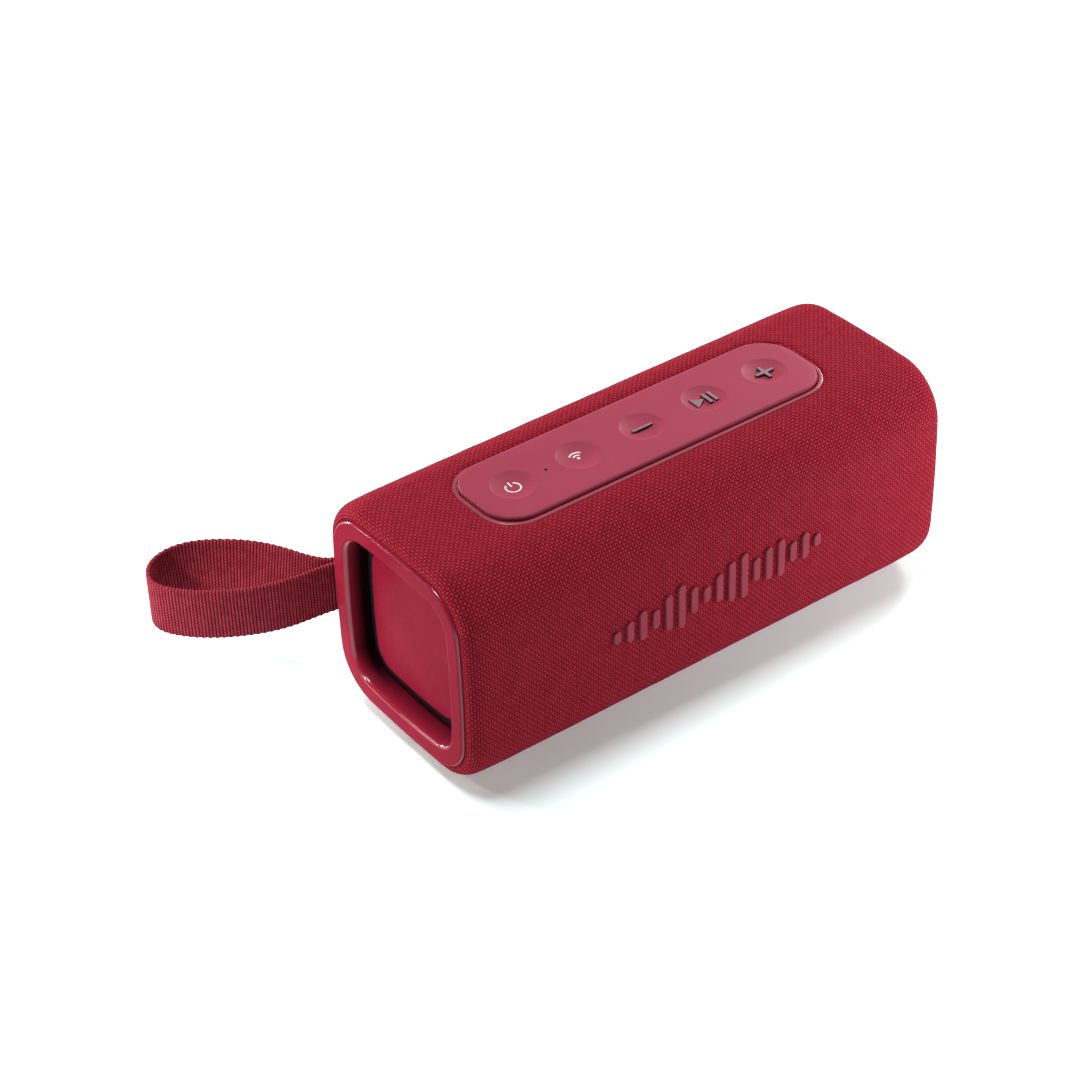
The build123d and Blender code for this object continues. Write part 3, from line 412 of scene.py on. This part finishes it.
def strips(rows, count, close=False):
    """Quads between rows of `count` points each; a closed row joins its last point to its first."""
    faces = []
    for row in range(rows - 1):
        for step in range(count if close else count - 1):
            after = (step + 1) % count
            faces.append((row * count + step, row * count + after,
                          (row + 1) * count + after, (row + 1) * count + step))
    return faces


def fan_and_strips(rows, count):
    """Triangles from point 0 to the first of the closed rows, then quads between the rows."""
    faces = [(0, 1 + step, 1 + (step + 1) % count) for step in range(count)]
    return faces + [tuple(corner + 1 for corner in face)
                    for face in strips(rows, count, close=True)]


def weave_map(thing, across, along):
    """Store how many yarns each vertex is along the cloth, in both directions."""
    layer = thing.data.uv_layers.new(name="weave")
    corner = np.empty(len(thing.data.loops), np.int32)
    thing.data.loops.foreach_get("vertex_index", corner)
    layer.data.foreach_set("uv", np.column_stack((across[corner], along[corner])).ravel())


def close_map(thing, axis, count):
    """Where a tube closes, carry the weave's count on to `count` instead of back to 0."""
    layer = thing.data.uv_layers["weave"]
    for face in thing.data.polygons:
        counts = [layer.data[index].uv[axis] for index in face.loop_indices]
        if max(counts) - min(counts) > count / 2:
            for index in face.loop_indices:
                if layer.data[index].uv[axis] < count / 2:
                    layer.data[index].uv[axis] += count


def rounded_distance(x, y, half_x, half_y, radius):
    """Distance outside a rounded rectangle about the origin; negative inside it."""
    over_x = np.abs(x) - (half_x - radius)
    over_y = np.abs(y) - (half_y - radius)
    outside = np.hypot(np.maximum(over_x, 0), np.maximum(over_y, 0))
    return outside + np.minimum(np.maximum(over_x, over_y), 0) - radius


def tilt_outward(thing):
    """Make every face look outward."""
    edit = bmesh.new()
    edit.from_mesh(thing.data)
    bmesh.ops.recalc_face_normals(edit, faces=edit.faces)
    edit.to_mesh(thing.data)
    edit.free()


# ------------------------------------------------------------------ the barrel's section
def quadrant(inset, radius):
    """Top-to-side quarter of the barrel's section: crowned top, corner arc and crowned side."""
    wide, high = half_width - inset, half_height - inset
    top_radius = ((wide - crown) ** 2 + crown ** 2) / (2 * crown)
    side_radius = ((high - crown) ** 2 + crown ** 2) / (2 * crown)
    top = np.array((0.0, high - top_radius))
    side = np.array((wide - side_radius, 0.0))
    reach = np.linalg.norm(side - top)
    toward = (side - top) / reach
    first, second = top_radius - radius, side_radius - radius
    along = (first ** 2 - second ** 2 + reach ** 2) / (2 * reach)
    outward = np.array((toward[1], -toward[0]))
    corner = top + along * toward + math.sqrt(first ** 2 - along ** 2) * outward
    turn_in = math.atan2(*(corner - top)[::-1])
    turn_out = math.atan2(*(corner - side)[::-1])
    points, normals = [], []
    for centre, size, start, stop in ((top, top_radius, math.pi / 2, turn_in),
                                      (corner, radius, turn_in, turn_out),
                                      (side, side_radius, turn_out, 0.0)):
        angles = np.linspace(start, stop, 40)
        direction = np.column_stack((np.cos(angles), np.sin(angles)))
        points.append(centre + size * direction)
        normals.append(direction)
    return np.concatenate(points), np.concatenate(normals)


def section(inset, radius, count):
    """Section as `count` even points (y, z) from the bottom, their normals and its girth."""
    points, normals = quadrant(inset, radius)
    ring, facing = [], []
    for flip, order in (((-1, -1), 1), ((-1, 1), -1), ((1, 1), 1), ((1, -1), -1)):
        ring.append(points[::order] * flip)
        facing.append(normals[::order] * flip)
    ring, facing = np.concatenate(ring), np.concatenate(facing)
    run = np.concatenate(([0.0], np.cumsum(np.linalg.norm(np.diff(ring, axis=0), axis=1))))
    even = np.linspace(0.0, run[-1], count, endpoint=False)
    place = np.column_stack([np.interp(even, run, ring[:, axis]) for axis in (0, 1)])
    normal = np.column_stack([np.interp(even, run, facing[:, axis]) for axis in (0, 1)])
    return place, normal / np.linalg.norm(normal, axis=1)[:, None], run[-1]


# ------------------------------------------------------------------ woven cover
def cover_profile():
    """X and inset of each station from one end of the cover to the other."""
    roll_depth, roll_inset, fullness = 5.8 * MM, 3.2 * MM, 2.8  # superellipse of the rolled end
    taper, taper_depth = 0.45 * MM, 16.0 * MM
    end = [(2.0 * MM, 3.76 * MM), (0.6 * MM, 3.75 * MM), (0.14 * MM, 3.72 * MM)]  # turned in
    for angle in np.linspace(0.0, math.pi / 2, 13):
        depth = roll_depth * (1 - math.cos(angle) ** (2 / fullness))
        inset = roll_inset * (1 - math.sin(angle) ** (2 / fullness))
        end.append((depth, inset + taper * (1 - depth / taper_depth) ** 2))
    middle = np.arange(roll_depth + yarn_pitch, half_length, yarn_pitch)
    end += [(depth, taper * max(0.0, 1 - depth / taper_depth) ** 2) for depth in middle]
    return [(-half_length + depth, inset) for depth, inset in end] + [
        (half_length - depth, inset) for depth, inset in reversed(end)]


def opening_distance(x, y, z):
    """Distance of each point of the cover from the edge of its nearest opening."""
    far_away = 1.0
    gaps = []
    for node, grow, radius, axis, on_that_side in (
            ("keypad_bezel", 0.0, 11.0 * MM, 1, z > axis_height),
            ("rubber_foot", 0.1 * MM, 8.0 * MM, 1, z < axis_height),
            ("port_bezel", 0.0, 3.0 * MM, 2, y > 0),
            ("strap_mount", 0.0, 0.6 * MM, 2, y > 0)):
        low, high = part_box(node)
        middle, half = (low + high) / 2, (high - low) / 2
        gap = rounded_distance(x - middle.x, (x, y, z)[axis] - middle[axis],
                               half.x + grow, half[axis] + grow, radius)
        gaps.append(np.where(on_that_side, gap, far_away))
    return np.min(gaps, axis=0)


def make_cover():
    """One woven tube stretched over the barrel, turned in at both rings and at every opening."""
    profile = cover_profile()
    count = 292  # points round the barrel
    places, normals = [], []
    for x, inset in profile:
        radius = corner_radius - (corner_radius - ring_radius) * inset / ring_inset
        ring, facing, girth = section(inset, radius, count)
        places.append(np.column_stack((np.full(count, x), ring[:, 0], ring[:, 1] + axis_height)))
        normals.append(np.column_stack((np.zeros(count), facing)))
    places, normals = np.concatenate(places), np.concatenate(normals)
    x, y, z = places.T
    gap = opening_distance(x, y, z)
    tuck, turn = 1.1 * MM, 0.45 * MM  # width and depth of the dip outside an opening's edge
    dive, deepest, hem = 1.6, 1.6 * MM, 0.7 * MM  # slope and depth inside it, and where it ends
    sink = np.where(gap < 0, turn - dive * gap, turn * np.clip(1 - gap / tuck, 0, 1) ** 2)
    ripple = 0.02 * MM * (np.sin(x * 610 + 3 * np.sin(y * 240))
                          + np.sin(z * 530 + 2 * np.sin(x * 170)))
    places = places + normals * (ripple - np.minimum(sink, deepest))[:, None]
    faces = [face for face in strips(len(profile), count, close=True)
             if gap[list(face)].mean() > -hem]
    cover = piece("woven_cover", places, faces, finishes["red_fabric"])
    run = np.repeat(np.arange(len(profile)), count)
    step = np.linalg.norm(np.diff(np.array(profile), axis=0), axis=1)
    length = np.concatenate(([0.0], np.cumsum(step)))[run]
    around = np.tile(np.arange(count) / count * 2 * round(girth / yarn_pitch / 2), len(profile))
    weave_map(cover, length / yarn_pitch, around)
    return cover, length.max()


cover, cover_length = make_cover()
girth = section(0.0, corner_radius, 8)[2]
close_map(cover, 1, 2 * round(girth / yarn_pitch / 2))
tilt_outward(cover)
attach(cover, "cabinet")
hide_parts("fabric_sleeve")


# ------------------------------------------------------------------ webbing loop
def smooth_run(points, start, stop, spacing):
    """Cubic spline through points, leaving along `start` and arriving along `stop`."""
    points = np.array(points)
    knot = np.concatenate(([0.0], np.cumsum(np.linalg.norm(np.diff(points, axis=0), axis=1))))
    gap = np.diff(knot)
    size = len(points)
    matrix, right = np.eye(size), np.zeros((size, 2))
    right[0], right[-1] = start, stop
    for row in range(1, size - 1):
        before, after = gap[row - 1], gap[row]
        matrix[row, row - 1:row + 2] = after, 2 * (before + after), before
        right[row] = 3 * (after * (points[row] - points[row - 1]) / before
                          + before * (points[row + 1] - points[row]) / after)
    slope = np.linalg.solve(matrix, right)
    line = []
    for row in range(size - 1):
        t = np.linspace(0, 1, max(3, int(gap[row] / spacing) * 2))[:, None]
        line.append((2 * t ** 3 - 3 * t ** 2 + 1) * points[row]
                    + (t ** 3 - 2 * t ** 2 + t) * gap[row] * slope[row]
                    + (3 * t ** 2 - 2 * t ** 3) * points[row + 1]
                    + (t ** 3 - t ** 2) * gap[row] * slope[row + 1])
    return np.concatenate(line)


def strap_route(spacing):
    """Middle line of the webbing from above: round the pin, out as two plies, round the hand."""
    pin = np.array(middle_of("strap_pin").xy)
    out = np.array((-0.957, 0.291))  # the way the plies leave the pin
    side = np.array((0.291, 0.957))
    eye, ply = 2.2 * MM, 0.72 * MM  # radius round the pin, and half the gap between the plies
    near, far = 5.0 * MM, 11.0 * MM  # the plies run side by side between these
    turn = [pin - out * eye * math.cos(a) + side * eye * math.sin(a)
            for a in np.linspace(-math.pi / 2, math.pi / 2, 25)]
    loop = np.array(((-87.0, 47.4), (-98.0, 60.6), (-107.5, 65.8), (-116.5, 64.2), (-120.4, 57.4),
                     (-116.2, 48.6), (-106.0, 40.4), (-92.0, 35.0))) * MM
    ply_side = side * ply
    outer = smooth_run([turn[-1], pin + out * near + ply_side], out, out, spacing)
    hand = smooth_run([pin + out * far + ply_side, *loop, pin + out * far - ply_side],
                      out, -out, spacing)
    inner = smooth_run([pin + out * near - ply_side, turn[0]], -out, -out, spacing)
    line = np.concatenate((turn, outer, hand, inner))
    run = np.concatenate(([0.0], np.cumsum(np.linalg.norm(np.diff(line, axis=0), axis=1))))
    keep = np.concatenate(([True], np.diff(run) > 1e-7))
    even = np.arange(0.0, run[-1], spacing)
    return np.column_stack([np.interp(even, run[keep], line[keep, axis]) for axis in (0, 1)]), even


def make_strap():
    """Closed loop of webbing with woven ribs on both faces and scalloped edges."""
    low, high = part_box("strap_webbing")
    middle, half = (low.z + high.z) / 2, (high.z - low.z) / 2
    spacing, rib = 0.225 * MM, 0.9 * MM  # a rib is also one row of the weave high
    half_thick, edge_room, edge_bulge = 0.55 * MM, 0.6 * MM, 0.45 * MM
    scallop_size, relief_size = 0.12 * MM, 0.1 * MM
    lean_most, lean_middle, lean_reach = math.radians(18.0), 0.30, 0.24  # of the far strand
    line, run = strap_route(spacing)
    ahead = np.roll(line, -1, axis=0) - np.roll(line, 1, axis=0)
    ahead /= np.linalg.norm(ahead, axis=1)[:, None]
    normal = np.column_stack((ahead[:, 1], -ahead[:, 0]))
    ribs = int(run[-1] / rib / 2) * 2
    share = np.arange(len(line)) / len(line)
    phase = share * ribs
    ribbing = np.abs(np.sin(phase * math.pi))
    scallop = scallop_size * np.cos(phase * math.pi)
    lean = lean_most * ease(np.clip(1 - np.abs(share - lean_middle) / lean_reach, 0, 1))
    face = np.linspace(-1, 1, 33)
    rim = np.sin(np.linspace(-math.pi / 2, math.pi / 2, 7))[1:-1]
    outline = ([(1, lane) for lane in face] + [(side, 1) for side in -rim]
               + [(-1, lane) for lane in -face] + [(side, -1) for side in rim])
    loops, across = [], []
    for sign, lane in outline:
        on_face = abs(sign) == 1
        bulge = 0.0 if on_face else edge_bulge * math.sqrt(1 - sign ** 2)
        height = lane * (half - edge_room + scallop + bulge)
        stitch = np.cos(math.pi * (2 * height / rib + np.floor(phase)))
        relief = relief_size * ribbing * (0.8 + 0.2 * stitch) if on_face else 0.0
        offset = sign * (half_thick + relief)
        aside = offset * np.cos(lean) + height * np.sin(lean)
        upright = height * np.cos(lean) - offset * np.sin(lean)
        loops.append(np.column_stack((line + normal * aside[:, None], middle + upright)))
        across.append(height / rib)
    count = len(line)
    faces = strips(len(loops), count, close=True)
    last = (len(loops) - 1) * count
    for step in range(count):
        after = (step + 1) % count
        faces.append((last + step, last + after, after, step))
    strap = piece("strap_loop", np.concatenate(loops), faces, finishes["strap_web"])
    above_zero = 40  # rows, so that no count is negative
    weave_map(strap, np.tile(phase, len(loops)), np.concatenate(across) + above_zero)
    close_map(strap, 0, ribs)
    tilt_outward(strap)
    return strap, run[-1], 2 * half


strap, strap_length, strap_width = make_strap()
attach(strap, "strap")
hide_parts("strap_webbing")

# ------------------------------------------------------------------ keypad
sheet_low, sheet_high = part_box("keypad_sheet")
sheet_top = sheet_high.z
sheet_half = Vector((sheet_high.x, sheet_high.y))
sheet_radius = 9.4 * MM
sheet_edge = 0.6 * MM  # radius of its rounded rim
key_names = ("power", "wireless", "minus", "play", "plus")
key_x = [middle_of(f"key_{name}").x for name in key_names]
key_pitch = key_x[1] - key_x[0]
membrane_radius = 7.2 * MM
dish_radius = 6.5 * MM
dish_depth = 1.1 * MM
key_sides = 64


def sheet_gap(x, y):
    """Distance outside the flat of the sheet, which ends where its rim starts to round over."""
    return rounded_distance(x, y, sheet_half.x - sheet_edge, sheet_half.y - sheet_edge,
                            sheet_radius - sheet_edge)


def dish(radius):
    """Depth of a key's dish below the sheet, `radius` out from its middle."""
    share = np.clip(radius / dish_radius, 0, 1)
    bowl = dish_depth * (1 - share ** 2)
    lip_start, lip_width = 0.86 * dish_radius, 0.2 * dish_radius
    return bowl * (1 - ease(np.clip((radius - lip_start) / lip_width, 0, 1)))


def key_angles():
    """Directions round a key: even, but with one through each corner of its share of the sheet."""
    corner = math.atan2(sheet_half.y - sheet_edge, key_pitch / 2)
    share = round(key_sides / 4 * corner / (math.pi / 2))
    quarter = np.concatenate((np.linspace(0, corner, share + 1)[:-1],
                              np.linspace(corner, math.pi / 2, key_sides // 4 - share + 1)[:-1]))
    half = np.concatenate((quarter, [math.pi / 2], math.pi - quarter[:0:-1]))
    return np.concatenate((half, half + math.pi))


def reach_to_edge(centre, angle, left_open, right_open):
    """How far the key's share of the sheet goes in one direction."""
    direction = np.array((math.cos(angle), math.sin(angle)))
    limits = [(sheet_half.y - sheet_edge) / max(abs(direction[1]), 1e-9)]
    if (direction[0] > 0 and right_open) or (direction[0] < 0 and left_open):
        limits.append(key_pitch / 2 / max(abs(direction[0]), 1e-9))
        return min(limits)
    low, high = 0.0, 2 * sheet_half.y
    for _ in range(40):
        mid = (low + high) / 2
        gap = sheet_gap(centre + direction[0] * mid, direction[1] * mid)
        low, high = (mid, high) if gap < 0 else (low, mid)
    return low


def make_sheet():
    """The soft sheet round the keys, rounded over its rim and with a round hole for each key."""
    angles = key_angles()
    rings = 5
    points, faces = [], []
    for index, centre in enumerate(key_x):
        first = len(points)
        more_left, more_right = index > 0, index < len(key_x) - 1
        reach = [reach_to_edge(centre, angle, more_left, more_right) for angle in angles]
        for ring in range(rings):
            share = (ring / (rings - 1)) ** 1.3
            for angle, far in zip(angles, reach):
                out = membrane_radius + (far - membrane_radius) * share
                points.append((centre + out * math.cos(angle), out * math.sin(angle), sheet_top))
        faces += [tuple(first + corner for corner in face)
                  for face in strips(rings, len(angles), close=True)]
    edit = bmesh.new()
    verts = [edit.verts.new(point) for point in points]
    for face in faces:
        edit.faces.new([verts[corner] for corner in face])
    bmesh.ops.remove_doubles(edit, verts=edit.verts, dist=0.005 * MM)
    edges = [edge for edge in edit.edges if edge.is_boundary and all(
        abs(sheet_gap(vert.co.x, vert.co.y)) < 0.02 * MM for vert in edge.verts)]
    start = {vert: vert.co.copy() for edge in edges for vert in edge.verts}
    facing = {}
    for vert, place in start.items():
        straight = sheet_half - Vector((sheet_radius, sheet_radius))
        past = [math.copysign(max(abs(place[axis]) - straight[axis], 0), place[axis])
                for axis in (0, 1)]
        facing[vert] = Vector((*past, 0)).normalized()
    stages = [(sheet_edge * math.sin(a), sheet_edge * (1 - math.cos(a)))
              for a in np.linspace(0, math.pi / 2, 6)[1:]]
    stages.append((sheet_edge, sheet_high.z - sheet_low.z))
    origin = {vert: vert for vert in start}
    for out, down in stages:
        made = bmesh.ops.extrude_edge_only(edit, edges=edges)["geom"]
        fresh = [item for item in made if isinstance(item, bmesh.types.BMVert)]
        edges = [item for item in made if isinstance(item, bmesh.types.BMEdge) and item.is_boundary]
        lookup = {}
        for vert in fresh:
            around = [edge.other_vert(vert) for edge in vert.link_edges]
            parent = min((other for other in around if other in origin),
                         key=lambda other: (other.co - vert.co).length)
            lookup[vert] = origin[parent]
        for vert, source in lookup.items():
            place = start[source] + facing[source] * out
            vert.co = (place.x, place.y, sheet_top - down)
        origin = lookup
    bmesh.ops.recalc_face_normals(edit, faces=edit.faces)
    return edited("keypad_skin", edit, finishes["rose_rubber"])


def make_membrane(name, centre):
    """Thin dished disc of a key, joined to the sheet all round."""
    angles = key_angles()
    radii = np.concatenate((np.linspace(0.4 * MM, 0.84 * dish_radius, 10),
                            np.linspace(0.87 * dish_radius, membrane_radius, 11)))
    points = [(centre, 0.0, sheet_top - dish_depth)]
    for radius in radii:
        level = sheet_top - float(dish(radius))
        points += [(centre + radius * math.cos(a), radius * math.sin(a), level) for a in angles]
    count = len(angles)
    faces = fan_and_strips(len(radii), count)
    disc = piece(f"membrane_{name}", points, faces, finishes["rose_rubber"])
    tilt_outward(disc)
    if disc.data.polygons[0].normal.z < 0:
        disc.data.flip_normals()
    return disc


def raised(name, centre, outlines, top):
    """Upright prisms on a key, from flat outlines about its middle, with rounded top edges."""
    base = sheet_top - dish_depth - 0.15 * MM
    edit = bmesh.new()
    for outline in outlines:
        lower = [edit.verts.new((centre + x, y, base)) for x, y in outline]
        upper = [edit.verts.new((centre + x, y, top)) for x, y in outline]
        edit.faces.new(lower[::-1])
        edit.faces.new(upper)
        for step in range(len(outline)):
            after = (step + 1) % len(outline)
            edit.faces.new((lower[step], lower[after], upper[after], upper[step]))
    rims = [edge for edge in edit.edges if all(vert.co.z > top - 1e-7 for vert in edge.verts)]
    bmesh.ops.bevel(edit, geom=rims, offset=0.1 * MM, segments=2, profile=0.6, affect="EDGES")
    thing = edited(name, edit, symbol_painted_light, symbol_painted_shade, smooth=False)
    # tops take the paler painted-light colour, sides the near-black painted shade
    for face in thing.data.polygons:
        face.material_index = 0 if face.normal.z > 0.4 else 1
    return thing


def bar(width, height, x=0.0, y=0.0):
    """Outline of an upright bar."""
    return [(x - width / 2, y - height / 2), (x + width / 2, y - height / 2),
            (x + width / 2, y + height / 2), (x - width / 2, y + height / 2)]


def printed_arc(radius, stroke, start, stop, sides=28):
    """Inner and outer points of a printed arc, angles in degrees."""
    angles = np.radians(np.linspace(start, stop, sides))
    return [(size * math.cos(a), size * math.sin(a)) for a in angles
            for size in (radius - stroke / 2, radius + stroke / 2)]


def printed(name, centre, bands):
    """White ink on a key's dish: each band is a ladder of point pairs, a hair's breadth thick."""
    lift, root = 0.035 * MM, 0.05 * MM
    points, faces = [], []
    for band in bands:
        first = len(points)
        for x, y in band:
            floor = sheet_top - float(dish(math.hypot(x, y)))
            points += [(centre + x, y, floor + lift), (centre + x, y, floor - root)]
        for rung in range(len(band) // 2 - 1):
            a = first + rung * 4
            faces += [(a, a + 2, a + 6, a + 4), (a + 1, a + 5, a + 7, a + 3),
                      (a, a + 4, a + 5, a + 1), (a + 2, a + 3, a + 7, a + 6)]
        end = first + (len(band) // 2 - 1) * 4
        faces += [(first, first + 1, first + 3, first + 2), (end, end + 2, end + 3, end + 1)]
    ink = piece(name, points, faces, icon_ink, smooth=False)
    tilt_outward(ink)
    return ink


def ladder(width, height, x=0.0, y=0.0, rungs=5):
    """A printed bar as point pairs from its lower to its upper end."""
    return [(x + side * width / 2, y + level)
            for level in np.linspace(-height / 2, height / 2, rungs) for side in (-1, 1)]


skin = make_sheet()
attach(skin, "cabinet")
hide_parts("keypad_sheet")
for name, centre in zip(key_names, key_x):
    disc = make_membrane(name, centre)
    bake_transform(disc)
    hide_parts(f"key_{name}")

symbol_top = sheet_top - 0.25 * MM
stroke = 1.0 * MM
symbols = {
    "minus": [bar(6.6 * MM, 0.9 * MM)],
    "plus": [[(x * MM, y * MM) for x, y in (
        (-3.0, -0.5), (-0.5, -0.5), (-0.5, -2.8), (0.5, -2.8), (0.5, -0.5), (3.0, -0.5),
        (3.0, 0.5), (0.5, 0.5), (0.5, 2.8), (-0.5, 2.8), (-0.5, 0.5), (-3.0, 0.5))]],
    "play": [[(-3.6 * MM, -2.3 * MM), (-0.1 * MM, 0.0), (-3.6 * MM, 2.3 * MM)],
             bar(stroke, 4.6 * MM, x=1.0 * MM), bar(stroke, 4.6 * MM, x=2.9 * MM)],
}
for name, outlines in symbols.items():
    symbol = raised(f"symbol_{name}", key_x[key_names.index(name)], outlines, symbol_top)
    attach(symbol, f"key_{name}")

ink_stroke = 0.48 * MM
icons = {
    "power": [printed_arc(2.05 * MM, ink_stroke, 122, 418),
              ladder(ink_stroke, 2.0 * MM, y=1.6 * MM)],
    "wireless": [printed_arc(0.24 * MM, ink_stroke, 0, 360),
                 printed_arc(1.35 * MM, ink_stroke, 42, 138, 14),
                 printed_arc(2.45 * MM, ink_stroke, 42, 138, 20)],
}
for name, bands in icons.items():
    ink = printed(f"icon_{name}", key_x[key_names.index(name)], bands)
    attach(ink, f"key_{name}")


def make_led():
    """Small smoked window of the status lamp, slightly domed."""
    centre = middle_of("status_led")
    radius, rise, root, sides = 0.5 * MM, 0.07 * MM, 0.2 * MM, 24
    rings = [(share, rise * (1 - share ** 2)) for share in (0.35, 0.65, 0.9, 1.0)] + [(1.0, -root)]
    points = [(centre.x, centre.y, sheet_top + rise)]
    for share, level in rings:
        for angle in np.linspace(0, 2 * math.pi, sides, endpoint=False):
            points.append((centre.x + radius * share * math.cos(angle),
                           centre.y + radius * share * math.sin(angle), sheet_top + level))
    faces = fan_and_strips(len(rings), sides)
    faces.append(tuple(range(len(points) - sides, len(points))))
    lamp = piece("led_window", points, faces, finishes["lens"])
    tilt_outward(lamp)
    return lamp


led = make_led()
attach(led, "cabinet")
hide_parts("status_led")


# ------------------------------------------------------------------ radiator surrounds
def make_surround(side, sign):
    """Black rubber roll between the glued lip and the plate's edge, rising steadily along X."""
    low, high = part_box(f"{side}_radiator_surround")
    lip_face = max(abs(low.x), abs(high.x)) - 1.0 * MM
    # inset from the barrel's surface and rise above the lip, in millimetres
    stages = [(8.3, -0.25), (9.2, -0.02), (9.9, 0.0), (10.15, 0.08), (10.3, 0.35), (10.55, 0.68),
              (10.95, 0.93), (11.4, 1.06), (11.9, 1.12), (12.4, 1.15), (12.85, 1.17), (13.15, 1.19),
              (13.4, 1.21), (13.7, 1.23)]
    outer_radius, tightening = 9.0 * MM, 0.47  # of the corners, and how much less per inset
    count = 160
    points = []
    for inset, rise in stages:
        radius = outer_radius - (inset - stages[0][0]) * MM * tightening
        ring, _, _ = section(inset * MM, radius, count)
        points += [(sign * (lip_face + rise * MM), y, z + axis_height) for y, z in ring]
    roll = piece(f"{side}_rubber_roll", points, strips(len(stages), count, close=True),
                 finishes["black_rubber"])
    tilt_outward(roll)
    if roll.data.polygons[count * 9].normal.x * sign < 0:
        roll.data.flip_normals()
    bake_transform(roll)
    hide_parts(f"{side}_radiator_surround")


for side, sign in (("left", -1), ("right", 1)):
    make_surround(side, sign)


# ------------------------------------------------------------------ damping foam
def make_foam():
    """Block of open-cell foam with softly uneven faces."""
    low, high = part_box("acoustic_foam")
    middle, half = (low + high) / 2, (high - low) / 2
    edit = bmesh.new()
    bmesh.ops.create_cube(edit, size=2.0)
    bmesh.ops.bevel(edit, geom=edit.edges[:], offset=0.18, segments=3, profile=0.5, affect="EDGES")
    bmesh.ops.subdivide_edges(edit, edges=edit.edges[:], cuts=3, use_grid_fill=True)
    for vert in edit.verts:
        x, y, z = vert.co
        wave = 1 - 0.03 * (1 + math.sin(x * 7 + z * 5) * math.cos(y * 6 - z * 3))
        vert.co = [middle[axis] + half[axis] * vert.co[axis] * wave for axis in range(3)]
    return edited("damping_foam", edit, finishes["foam"])


foam = make_foam()
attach(foam, "cabinet")
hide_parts("acoustic_foam")


# ------------------------------------------------------------------ floor, lights and camera
def make_floor():
    """Sheet of studio paper on the floor."""
    side, steps = 6.0, 24
    ticks = np.linspace(-side, side, steps)
    points = [(x, y, 0.0) for y in ticks for x in ticks]
    return piece("studio_floor", points, strips(steps, steps), floor_paper())


make_floor()


def lamp(name, kind, power, place, target, **settings):
    """A light of one kind at a place, aimed at a point."""
    light = bpy.data.lights.new(name, kind)
    light.energy = power
    for setting, value in settings.items():
        setattr(light, setting, value)
    holder = into_scene(name, light)
    holder.location = place
    holder.rotation_euler = (Vector(target) - Vector(place)).to_track_quat("-Z", "Y").to_euler()


# a sun shines the same from anywhere, so its place only gives its direction
lamp("overhead", "SUN", 2.3, (-0.13, 0.13, 1.0), (0.0, 0.0, 0.0), angle=0.3)
for name, power, place, target, (width, height) in (
        ("front_right", 0.44, (0.22, -0.14, 0.07), (0.075, -0.03, 0.035), (0.08, 0.08)),
        ("low_left", 1.35, (-0.58, 0.26, 0.045), (-0.10, 0.0, 0.035), (0.30, 0.06)),
        ("back_right", 3.6, (0.60, 0.26, 0.38), (0.0, 0.0, 0.06), (0.22, 0.22)),
        ("back_left", 2.0, (-0.58, 0.68, 0.36), (-0.08, 0.0, 0.04), (0.05, 0.05)),
        ("back_strip", 4.5, (-0.22, 0.90, 0.16), (-0.08, 0.0, 0.05), (0.26, 0.05))):
    lamp(name, "AREA", power, place, target, shape="RECTANGLE", size=width, size_y=height)
lamp("strap_spot", "SPOT", 9.0, (-0.50, 0.05, 0.36), (-0.116, 0.054, 0.035),
     spot_size=math.radians(12.5), spot_blend=0.7, shadow_soft_size=0.03)

world = bpy.data.worlds.new("studio")
world.use_nodes = True
background = world.node_tree.nodes["Background"]
background.inputs["Color"].default_value = (1.0, 1.0, 1.0, 1.0)
background.inputs["Strength"].default_value = 0.06
bpy.context.scene.world = world
bpy.context.scene.view_settings.view_transform = "Standard"

camera_place = Vector((-381.6, -481.4, 482.0)) * MM
azimuth, elevation, roll = math.radians(35.77), math.radians(36.29), math.radians(-1.88)
ahead = Vector((math.sin(azimuth) * math.cos(elevation), math.cos(azimuth) * math.cos(elevation),
                -math.sin(elevation)))
camera = into_scene("camera", bpy.data.cameras.new("camera"))
camera.data.sensor_width = 36.0
camera.data.lens = 93.0
camera.data.clip_start = 0.01
camera.data.clip_end = 50.0
turn = ahead.to_track_quat("-Z", "Y").to_matrix() @ Matrix.Rotation(roll, 3, "Z")
camera.matrix_world = Matrix.Translation(camera_place) @ turn.to_4x4()
bpy.context.scene.camera = camera
